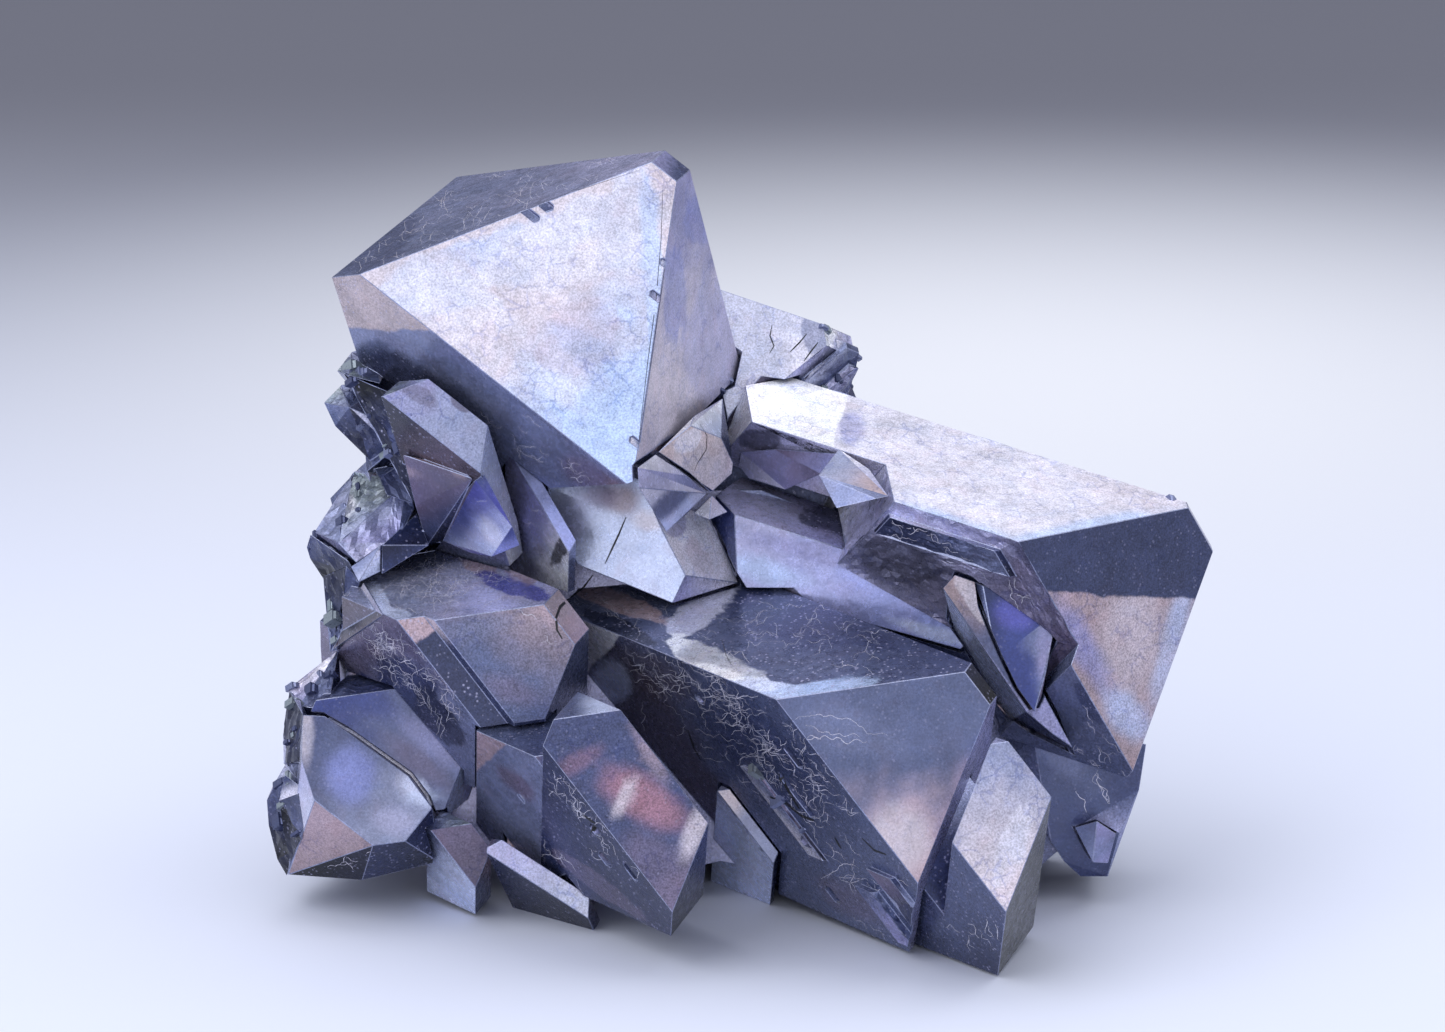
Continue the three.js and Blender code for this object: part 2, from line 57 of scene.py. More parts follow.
# The showing side: where the camera aims, how far it stands and how far it looks down.
AIM = Vector((-1.216, -11.205, 33.0)) * MM
VIEW_DISTANCE = 446 * MM
VIEW_DOWN = math.radians(15)
LENS = 150
SENSOR = 36
CLIP_NEAR, CLIP_FAR = 0.01, 20
PICTURE_WIDTH = 1445
PICTURE_HEIGHT = 1032
PIXEL = VIEW_DISTANCE * SENSOR / LENS / PICTURE_WIDTH    # size of one picture pixel at the aim
INTO = Vector((0, math.cos(VIEW_DOWN), -math.sin(VIEW_DOWN)))
UP = Vector((0, math.sin(VIEW_DOWN), math.cos(VIEW_DOWN)))
ACROSS = Vector((1, 0, 0))
EYE = AIM - INTO * VIEW_DISTANCE

# The mesh of the faces.
MERGE_REACH = 0.002 * MM           # corners nearer than this are joined
CRUMB = 0.004 * MM                 # edges shorter than this are dissolved
STRAIGHT_ANGLE = math.radians(0.4) # faces that meet flatter than this become one face
FLAT_ANGLE = math.radians(4)       # faces that meet flatter than this are one facet
EDGE_ANGLE = math.radians(14)      # edges sharper than this are worn to a fine line, in a lighter tone that is a painted highlight
EDGE_WEAR = 0.05 * MM              # how far those are cut back
FINE = 0.80 * MM                   # longest mesh edge on the facets that are painted one by one
COARSE = 2.4 * MM                  # longest mesh edge elsewhere
DIVISIONS = 9                      # the most times that an edge is halved
ROUGH_RELIEF = 0.22 * MM           # unevenness of the broken surfaces
WIDE_LUMPS, SMALL_LUMPS = 0.9, 2.3 # how often its lumps repeat in a millimetre
SMALL_LUMP_SHARE = 0.6
LUMP_SHIFT = Vector((7, 1, 3))
LUMPS_SUNK = 0.3
BACK_FROM = 12 * MM                # facets behind this and below the next are the broken back
BACK_BELOW = 38 * MM

# How the tones are laid down. Two noises make their borders wander: how often each repeats in a millimetre,
# and where it starts.
DRIFT = (0.22, Vector((0, 0, 0)))
CLOUD = (0.75, Vector((3, 9, 5)))
DRIFT_SHARE, CLOUD_SHARE = 0.7, 0.5
UNEVEN = 0.10                      # how much a tone varies with the second noise
BORDER_WANDER = 5                  # picture pixels that a sharp border wanders
BEND_MOST, BEND_PIXELS = 0.22, 6   # how far a soft change bends with them: at most this share of the
BEND_SOFT = 0.4                    # facet, and the more the softer the change and the smaller the facet
PATCH_WANDER = 0.35                # share of its size that a patch's outline wanders
PATCH_RIM = 0.12                   # share of a ragged patch over which it comes up to its strength
UPWARD, DOWNWARD = 0.6, -0.4       # hidden facets that lean more than this are tops, painted lighter, and undersides, painted darker, as painted light and shade
SHARP = 0.20                       # a change softer than this blends, and a sharper one is a line,
SPLIT_PIXELS = 60                  # laid down over so many pixels
METALLIC = 0.50                    # the tarnish film scatters a part of the light
FINISH_RELIEF = 0.02 * MM          # depth of the grain and the pits

# How often each pattern of the tarnish repeats in a metre.
PATTERNS = {"fine": 7000, "middling": 1500, "wide": 260, "tint": 420, "edge": 800, "pits": 3100,
            "pit_zone": 520, "big_pits": 900, "web": 800, "web_bend": 1400, "web_zone": 380, "dots": 2600,
            "dot_zone": 900}

# How the marks of the tarnish tint a tone, and how strongly.
GRAIN_STRENGTH = 0.42
WARM_TINT, WARM_STRENGTH = (1.0, 0.86, 0.82), 0.7
COOL_TINT, COOL_STRENGTH = (0.82, 0.91, 1.0), 0.8
PIT_TINT, PIT_STRENGTH, BIG_PIT_SHARE = (0.22, 0.22, 0.30), 0.55, 0.30
WEB_TINT, WEB_STRENGTH = (0.50, 0.55, 0.78), 0.6
WEB_PUSH = (0.0006, 0.0006, 0.0006)    # metres that the cells of the web are pushed about
DOT_STRENGTH = 0.75

# Fine pale veins: length of a step in picture pixels, width in millimetres, for veins and for their twigs.
VEIN_STEP, VEIN_WIDTH = 2.2, (0.032, 0.070)
TWIG_STEP, TWIG_WIDTH = 2.0, (0.028, 0.050)
VEIN_SCATTER = 0.5                 # spread of the starts, as a share of the network's size
VEIN_FAN = 13                      # spread of the headings in degrees
VEIN_REACH = (0.6, 1.7)            # lengths, as a share of the network's own
TWIG_ANGLE = (30, 75)
VEIN_FEWEST, TWIG_FEWEST = 5, 4    # the fewest steps they set out to take
UNBRANCHED = 60                    # veins as long as this have no twigs
VEIN_FULL, VEIN_THIN = 0.9, 0.5    # share of the width, and the share on the roofs and fronts
SWING = (0.3, 0.85)                # how a vein wanders, in radians: the width of its swings,
SWING_STEP = (0.1, 1.5)            # how fast it goes through them,
JITTER, TURNING = 0.22, 0.12       # how far each step is off, and how fast the whole vein turns
RIBBON_TIP = 0.35                  # width at a ribbon's ends, as a share of the middle's
RIBBON_LIFT = 0.012                # millimetres that veins and cracks stand off the facet
CRACK_STEPS = 4                    # from one point of a crack's line to the next

# Loose cleavage blocks on the broken surfaces: how many of each tone, their sizes and how far they show.
CHIP_COUNT = 50
CHIP_SIZE, CHIP_SHARE = (0.35, 1.5), (0.5, 1.0)     # each side is such a share of such a size
CHIP_PROUD = (0.02, 0.12)
CHIP_BELOW = 44 * MM               # none is placed higher than this
CHIP_LIE = ((8, "Z"), (45, "X"), (35, "Y"))
CHIP_TWIST = 0.10                  # how far each one is turned off that, in radians
BLOCK_INSET = 0.13                 # the step on a block one unit across, and the corner that is split off
BLOCK_STEP = (0.09, -0.06, 0.20)
BLOCK_CUT, BLOCK_CUT_FACING = (0.36, 0.36, 0.2), (1, 0.8, 0.7)

# The paper the cluster stands on: its size, where it curves up and how tightly, in metres, and its tints,
# which paint shade higher up and a pool of light behind the cluster.
SWEEP_LENGTH, SWEEP_DIVISIONS = 4.0, 60
SWEEP_HALF_WIDTH = 2.0
SWEEP_FRONT = 1.4
SWEEP_START = 1.20
SWEEP_RADIUS = 0.40
PAPER_LOW = (0.56, 0.59, 0.71)
PAPER_HIGH_SHADE = (0.12, 0.123, 0.155)
PAPER_PAINTED_GLOW = (0.62, 0.63, 0.68)
PAPER_TURN = (0.02, 0.34)          # between these depths it turns from the low tint to the high one
GLOW_PLACE = (0.03, 0.17, 0.0)     # behind the cluster, where a pool of light is painted on the paper
GLOW_REACH, GLOW_STRENGTH = 0.15, 0.85
PAPER_ROUGHNESS, PAPER_GLOSS = 0.9, 0.1

# Soft lights, all aimed at the cluster: place, width and height in metres, power, colour.
LIT_PLACE = Vector((0, 0, 0.03))
LIGHTS = {
    "key": ((-0.50, -0.40, 0.70), (0.8, 0.8), 4.5, (1, 1, 1)),
    "front": ((0.05, -1.0, 0.35), (0.9, 0.7), 0.9, (1, 1, 1)),
    "top": ((0.10, 0.20, 0.80), (1.1, 0.9), 4.4, (1, 1, 1)),
    "right": ((0.70, -0.40, 0.30), (0.5, 0.6), 0.7, (0.92, 0.95, 1.0)),
    "low_left": ((-0.60, -0.55, 0.14), (0.6, 0.4), 1.6, (0.92, 0.95, 1.0)),
}
ROOM_COLOUR = (0.91, 0.935, 1.0, 1)
ROOM_LIGHT = 0.86

# Tones of the tarnish and the bare metal, red, green and blue out of 255. On the facets they also stand in
# for painted reflections, highlights and shade.
WHITE = (238, 239, 248)
SILVER = (205, 203, 220)
WARM_SILVER = (196, 188, 200)
PALE_BLUE = (172, 190, 228)
ICE = (196, 205, 235)
LAVENDER = (166, 166, 200)
LILAC = (140, 140, 182)
PERIWINKLE = (122, 130, 186)
ROSE = (152, 112, 128)
ROSE_BEIGE = (170, 150, 162)
BEIGE = (176, 162, 166)
TAN = (150, 133, 140)
MAUVE = (106, 98, 124)
GREY_BROWN = (88, 82, 102)
BROWN = (86, 76, 88)
RUST = (120, 94, 92)
STEEL = (116, 123, 157)
SLATE = (86, 94, 127)
DUSK = (68, 75, 109)
NAVY = (46, 54, 91)
INK = (30, 34, 57)
BLACK = (12, 14, 22)
VIOLET = (84, 86, 160)
DEEP_BLUE = (60, 70, 126)
GREEN_GREY = (128, 138, 148)
GRAPHITE = (54, 60, 89)
IRON = (92, 99, 133)
PEWTER = (134, 140, 170)
BLUE_LILAC = (150, 158, 212)
FOG = (186, 188, 210)

# How a facet's surface is worn: dark pits, pale dots, fine grain, and its roughness.
FINISHES = {
    "bright": (0.85, 0.10, 0.90, 0.36),
    "smooth": (0.25, 0.25, 0.65, 0.23),
    "dark": (0.30, 0.90, 1.15, 0.25),
    "frosted": (0.85, 0.28, 1.20, 0.36),
    "starry": (0.25, 1.50, 1.10, 0.28),
    "broken": (0.75, 0.55, 1.00, 0.30),
}

# Finishes whose patches blend softly into the tone around them; on the others their edges are ragged.
SOFT_FINISHES = ("smooth", "broken", "frosted")

# How the names of the broken facets begin that carry no loose blocks.
SMOOTH_BREAKS = ("east", "ledge_bright", "ledge_face_high", "ledge_face_low", "stub", "lilac", "white")

# The facets of the showing side. Their tones are tarnish together with painted reflections, highlights and
# shade, and some facets in recesses are painted lighter against the shade there.
Facet = namedtuple("Facet", "px py near far heading split soft finish")
FACETS = {}


def add_facets(finish, soft, **rows):
    """Adds facets of one finish. A row has a place on the facet in picture pixels, the tones it starts and
    ends with, the heading from one to the other in degrees, where the change lies, and how soft it is. The
    last three are -60, 0.5 and the given softness in a row that leaves them out."""
    for name, row in rows.items():
        FACETS[name] = Facet(*row, *(-60, 0.5, soft)[len(row) - 4:], finish)


add_facets(
    "bright", 1.0,
    summit_front=(558, 312, WARM_SILVER, PALE_BLUE, -58, 0.60, 0.5),
    summit_right=(694, 359, LILAC, WARM_SILVER, -75, 0.35, 0.7),
    behind_front=(774, 343, FOG, SILVER, -20, 0.8, 0.4),
    east_roof=(934, 468, WHITE, SILVER, -18, 0.22, 0.12),
    east_end_high=(840, 467, PEWTER, TAN, -40, 0.5, 0.8),
    east_end_low=(841, 495, STEEL, STEEL, -60, 0.5, 0.8),
    east_end_side=(867, 471, SILVER, LAVENDER, -60, 0.5, 0.8),
    blade_face=(962, 592, TAN, IRON, -58, 0.30, 0.5),
    pale_right=(693, 540, WHITE, SILVER, -70, 0.6),
    crook_face=(703, 455, BEIGE, WARM_SILVER, -70, 0.4, 0.9),
    stub_front=(466, 846, MAUVE, GREY_BROWN),
    sliver_front=(502, 851, LAVENDER, FOG, -30),
    corner_beige=(325, 837, ROSE_BEIGE, TAN, -80),
    wedge_front=(1006, 807, PEWTER, WARM_SILVER, -80, 0.4, 0.8),
    lilac_front=(427, 404, LILAC, PEWTER, -48, 0.25, 0.5),
    white_facet=(374, 567, SILVER, ICE),
    white_facet_left=(359, 568, IRON, PEWTER),
)
add_facets(
    "smooth", 1.0,
    east_roof_end=(742, 418, WHITE, WHITE, -70),
    east_under_mid=(787, 472, LILAC, MAUVE, 10, 0.6),
    east_under_right=(817, 461, MAUVE, LILAC),
    east_under_left=(752, 471, LAVENDER, SILVER, -30, 0.4, 0.6),
    east_tip=(1187, 503, SILVER, LAVENDER, 0),
    spur_face=(1080, 793, SLATE, DUSK, -60, 0.6),
    spur_foot=(1071, 850, SLATE, DUSK, -60, 0.6),
    spur_under=(1080, 871, DUSK, NAVY, -60, 0.6),
    spur_edge=(1125, 823, LAVENDER, STEEL, -60, 0.6),
    spur_tip_left=(1087, 833, SLATE, STEEL, -60, 0.6),
    spur_tip_right=(1104, 835, LILAC, STEEL, -60, 0.6),
    spur_tip_low=(1103, 857, STEEL, LILAC, -60, 0.6),
    blue_face=(1009, 625, NAVY, DEEP_BLUE, -30, 0.4, 0.8),
    blue_face_low=(1026, 660, DEEP_BLUE, STEEL, 10, 0.55, 0.3),
    centre_front=(899, 749, SLATE, ROSE_BEIGE, -82, 0.62, 0.5),
    pale_face=(618, 535, ICE, ICE, -55, 0.35, 0.8),
    streak_face=(669, 506, SILVER, ICE, -50, 0.6),
    streak_side=(646, 479, LAVENDER, SILVER, -30, 0.6),
    streak_high=(682, 479, LILAC, STEEL, -30, 0.6),
    streak_left=(655, 462, SILVER, LAVENDER, -30, 0.6),
    crook_high=(711, 422, WHITE, ICE, -60, 0.4, 0.9),
    crook_rim=(689, 422, SILVER, WHITE, 40),
    crook_rim_high=(697, 416, SILVER, LAVENDER, 40),
    bright_tip_left=(704, 510, WHITE, SILVER, -60, 0.6),
    bright_tip_right=(717, 509, WARM_SILVER, SILVER, -60, 0.6),
    strip_front=(767, 557, LAVENDER, BLUE_LILAC, -14, 0.35, 0.9),
    west_tip=(557, 604, BEIGE, ROSE_BEIGE),
    white_edge=(363, 587, SILVER, LAVENDER),
    keel_roof=(581, 704, SLATE, ICE, -20, 0.45, 0.6),
    nub_front=(727, 795, WARM_SILVER, PEWTER, -50, 0.3, 0.3),
    rose_front=(383, 718, DEEP_BLUE, IRON, -25, 0.30, 0.5),
    corner_front=(378, 801, DUSK, PEWTER, -30),
    plate_bright=(306, 797, LAVENDER, FOG, -80),
    plate_step=(299, 767, SILVER, STEEL, -80),
    lilac_right=(491, 467, ICE, WHITE),
    rim_front=(537, 486, GRAPHITE, BLUE_LILAC),
    violet_face=(479, 526, VIOLET, ICE, -62, 0.55, 0.9),
    violet_side=(510, 541, DEEP_BLUE, BLUE_LILAC, -80, 0.5, 0.6),
    violet_edge=(482, 481, DUSK, VIOLET, -60, 0.4, 0.6),
    violet_low=(470, 551, LAVENDER, VIOLET, 0),
    streaked_high=(426, 480, MAUVE, GREY_BROWN, -20),
    streaked_low=(432, 512, MAUVE, DUSK, -60, 0.4, 0.8),
    streaked_right=(470, 486, GREY_BROWN, MAUVE, -60, 0.4, 0.8),
    streaked_rim=(420, 459, TAN, MAUVE, 0, 0.5, 0.8),
)
add_facets(
    "frosted", 1.0,
    east_front=(1125, 590, GRAPHITE, TAN, -93, 0.34, 0.07),
    west_front=(520, 655, TAN, SLATE, -120, 0.3),
    keel_front=(602, 754, DUSK, MAUVE, -38, 0.86, 0.2),
)
add_facets(
    "starry", 1.0,
    centre_roof=(770, 640, SLATE, DUSK, 0),
    strip_roof=(802, 517, LAVENDER, LILAC, -12, 0.55, 0.35),
)
add_facets(
    "dark", 1.0,
    summit_roof=(467, 203, STEEL, LAVENDER, 0, 0.7),
    summit_left=(370, 325, BEIGE, STEEL, -90, 0.25, 0.06),
    summit_tip=(665, 161, LILAC, DUSK, -30, 0.5, 0.8),
    east_under=(755, 437, LAVENDER, SILVER, -10),
    east_ledge_end=(1000, 555, NAVY, INK, -60, 0.5, 0.8),
    east_low_left=(1092, 743, STEEL, SLATE, -50),
    east_step=(1067, 662, STEEL, SLATE, -90),
    spur_left=(1028, 753, STEEL, SLATE, -70),
    blade_low=(1006, 698, ICE, ICE, -60, 0.3, 0.8),
    blade_foot=(1026, 719, DUSK, NAVY),
    blade_foot_right=(1048, 734, NAVY, INK),
    centre_tip=(971, 671, INK, BLACK, -50),
    centre_right=(982, 744, LILAC, LAVENDER, -110, 0.3, 0.5),
    centre_side=(936, 885, ICE, NAVY, -90, 0.3, 0.5),
    # Its white near end is painted light, set against the shade of the cavity it lies in.
    centre_left=(702, 745, WHITE, SLATE, -42, 0.13, 0.05),
    pale_under=(691, 586, LILAC, SILVER, 10, 0.5, 0.8),
    crook_side=(724, 431, SLATE, INK, -80),
    strip_left=(725, 523, DEEP_BLUE, DUSK, -70),
    under_pale=(584, 578, LAVENDER, IRON, -20),
    west_roof=(433, 584, PEWTER, LAVENDER, -45, 0.55, 0.7),
    west_step=(421, 632, ROSE_BEIGE, GRAPHITE, -58, 0.20, 0.12),
    west_step_line=(432, 622, WARM_SILVER, DUSK, -58, 0.22, 0.2),
    west_left=(383, 651, MAUVE, STEEL, -65, 0.36, 0.6),
    west_right=(575, 677, SLATE, INK),
    brown_facet=(352, 612, BROWN, GREY_BROWN),
    brown_facet_edge=(345, 634, INK, BROWN),
    keel_back=(502, 771, ROSE_BEIGE, STEEL, -48, 0.20, 0.15),
    keel_back_roof=(529, 738, SLATE, DUSK, -20, 0.5, 0.8),
    keel_left=(568, 846, NAVY, GRAPHITE, -40),
    keel_right=(693, 889, DEEP_BLUE, BLACK),
    nub_left=(751, 875, ICE, ICE),
    rose_side=(460, 793, ICE, ICE),
    stub_left=(445, 879, IRON, ICE, -70, 0.3, 0.7),
    stub_side=(483, 888, ROSE_BEIGE, SLATE, -70, 0.3, 0.7),
    sliver_left=(524, 895, GRAPHITE, INK),
    corner_under=(351, 866, BLACK, INK, -10, 0.6),
    corner_under_right=(384, 859, NAVY, BLACK, -10, 0.6),
    corner_side=(418, 838, NAVY, INK),
    wedge_left=(971, 929, SLATE, GRAPHITE, -70, 0.7, 0.8),
    wedge_right=(1020, 915, BLACK, BLACK, 60, 0.8, 0.8),
    lilac_left=(411, 439, INK, BROWN, -60, 0.45, 0.6),
    lilac_foot=(501, 559, LILAC, STEEL),
    rim_left=(545, 558, LILAC, WHITE, -60, 0.75, 0.5),
    rim_right=(572, 554, STEEL, SLATE, -80),
    streaked_foot=(439, 536, DUSK, INK, -60, 0.5, 0.8),
    dark_facet=(412, 534, NAVY, INK),
    dark_facet_left=(392, 555, INK, NAVY),
    dark_facet_low=(431, 547, INK, BLACK),
)
add_facets(
    "broken", 0.8,
    behind_step_low=(825, 353, LAVENDER, INK, -45, 0.5, 0.6),
    behind_step_line=(841, 345, SILVER, STEEL, -45, 0.5, 0.6),
    behind_step_high=(848, 357, FOG, SLATE, -45, 0.5, 0.6),
    behind_step_edge=(850, 368, SILVER, LAVENDER, -45, 0.5, 0.6),
    behind_end=(831, 335, WHITE, LAVENDER, -30, 0.5, 0.6),
    behind_foot=(845, 385, LAVENDER, DUSK, -45, 0.5, 0.6),
    east_recess=(856, 519, WHITE, LAVENDER, -40),
    east_left=(915, 576, LAVENDER, MAUVE),
    east_ledge=(894, 529, GRAPHITE, STEEL, -20, 0.6),
    gash_ledge=(787, 814, MAUVE, INK, -60, 0.5, 1.0),
    ledge_bright_high=(885, 884, MAUVE, GRAPHITE),
    ledge_bright_low=(869, 898, IRON, LILAC),
    ledge_face_high=(900, 888, NAVY, STEEL),
    ledge_face_low=(877, 895, SLATE, NAVY),
    rose_roof=(355, 684, DUSK, NAVY, -20, 0.5, 1.0),
    stub_roof=(444, 819, STEEL, GREEN_GREY, -20, 0.5, 1.0),
    plate_face=(292, 805, GRAPHITE, IRON, -80, 0.5, 1.0),
    plate_low=(292, 838, BLACK, INK, -80, 0.5, 1.0),
    plate_outer=(273, 807, DUSK, INK, -80, 0.5, 1.0),
    plate_outer_low=(280, 846, INK, BLACK, -80, 0.5, 1.0),
    plate_outer_high=(276, 790, FOG, DUSK, -80, 0.4, 0.6),
    plate_high=(289, 787, DUSK, SILVER, -60, 0.6, 0.5),
    plate_top_side=(293, 715, INK, INK, -80, 0.5, 1.0),
    plate_top_low=(293, 756, NAVY, INK, -80, 0.5, 1.0),
    plate_step_low=(293, 767, STEEL, INK, -80, 0.5, 1.0),
    plate_tip=(283, 861, INK, BLACK, -80, 0.5, 1.0),
    ledge_top=(300, 689, SILVER, LILAC, -60, 0.5, 1.0),
    ledge_face=(323, 685, SLATE, DUSK, -60, 0.5, 1.0),
    ledge_low=(307, 710, DUSK, INK, -60, 0.5, 1.0),
    lilac_roof=(399, 385, GREEN_GREY, LILAC, -30, 0.5, 1.0),
    white_facet_high=(357, 550, STEEL, LAVENDER, -60, 0.5, 1.0),
    block_top=(365, 496, GREEN_GREY, PEWTER, -60, 0.75, 0.5),
    block_face=(381, 524, PEWTER, LILAC),
    block_left=(330, 526, PEWTER, STEEL, -100),
    block_knob=(392, 484, DUSK, STEEL, -40),
    block_knob_right=(408, 507, STEEL, DUSK, -40),
    block_neck=(380, 471, SLATE, DUSK, -40),
    block_neck_left=(369, 464, SLATE, DUSK, -40),
    block_neck_dark=(384, 462, INK, BLACK, -40),
    pitted_left=(317, 551, DUSK, INK, -80),
    pitted_mid=(334, 582, INK, DUSK, -80),
    pitted_right=(350, 580, DUSK, NAVY, -80),
    pitted_low=(322, 569, INK, BLACK, -80),
    pitted_high=(352, 562, DUSK, INK, -80),
    shoulder_top=(338, 397, GREEN_GREY, STEEL),
    shoulder_light=(351, 399, STEEL, SLATE),
    shoulder_left=(336, 412, STEEL, SLATE, -80),
    shoulder_low=(346, 425, DUSK, INK, -80, 0.4, 0.6),
    shoulder_dark=(373, 446, INK, DUSK, -80),
    cap_top=(360, 371, GREEN_GREY, SLATE, -20),
    cap_left=(344, 368, GREEN_GREY, STEEL, -20),
    cap_high=(354, 360, STEEL, SLATE, -20),
    striped_strip=(371, 395, BLACK, NAVY, -70),
    striped_strip_low=(392, 452, INK, INK, -70),
)
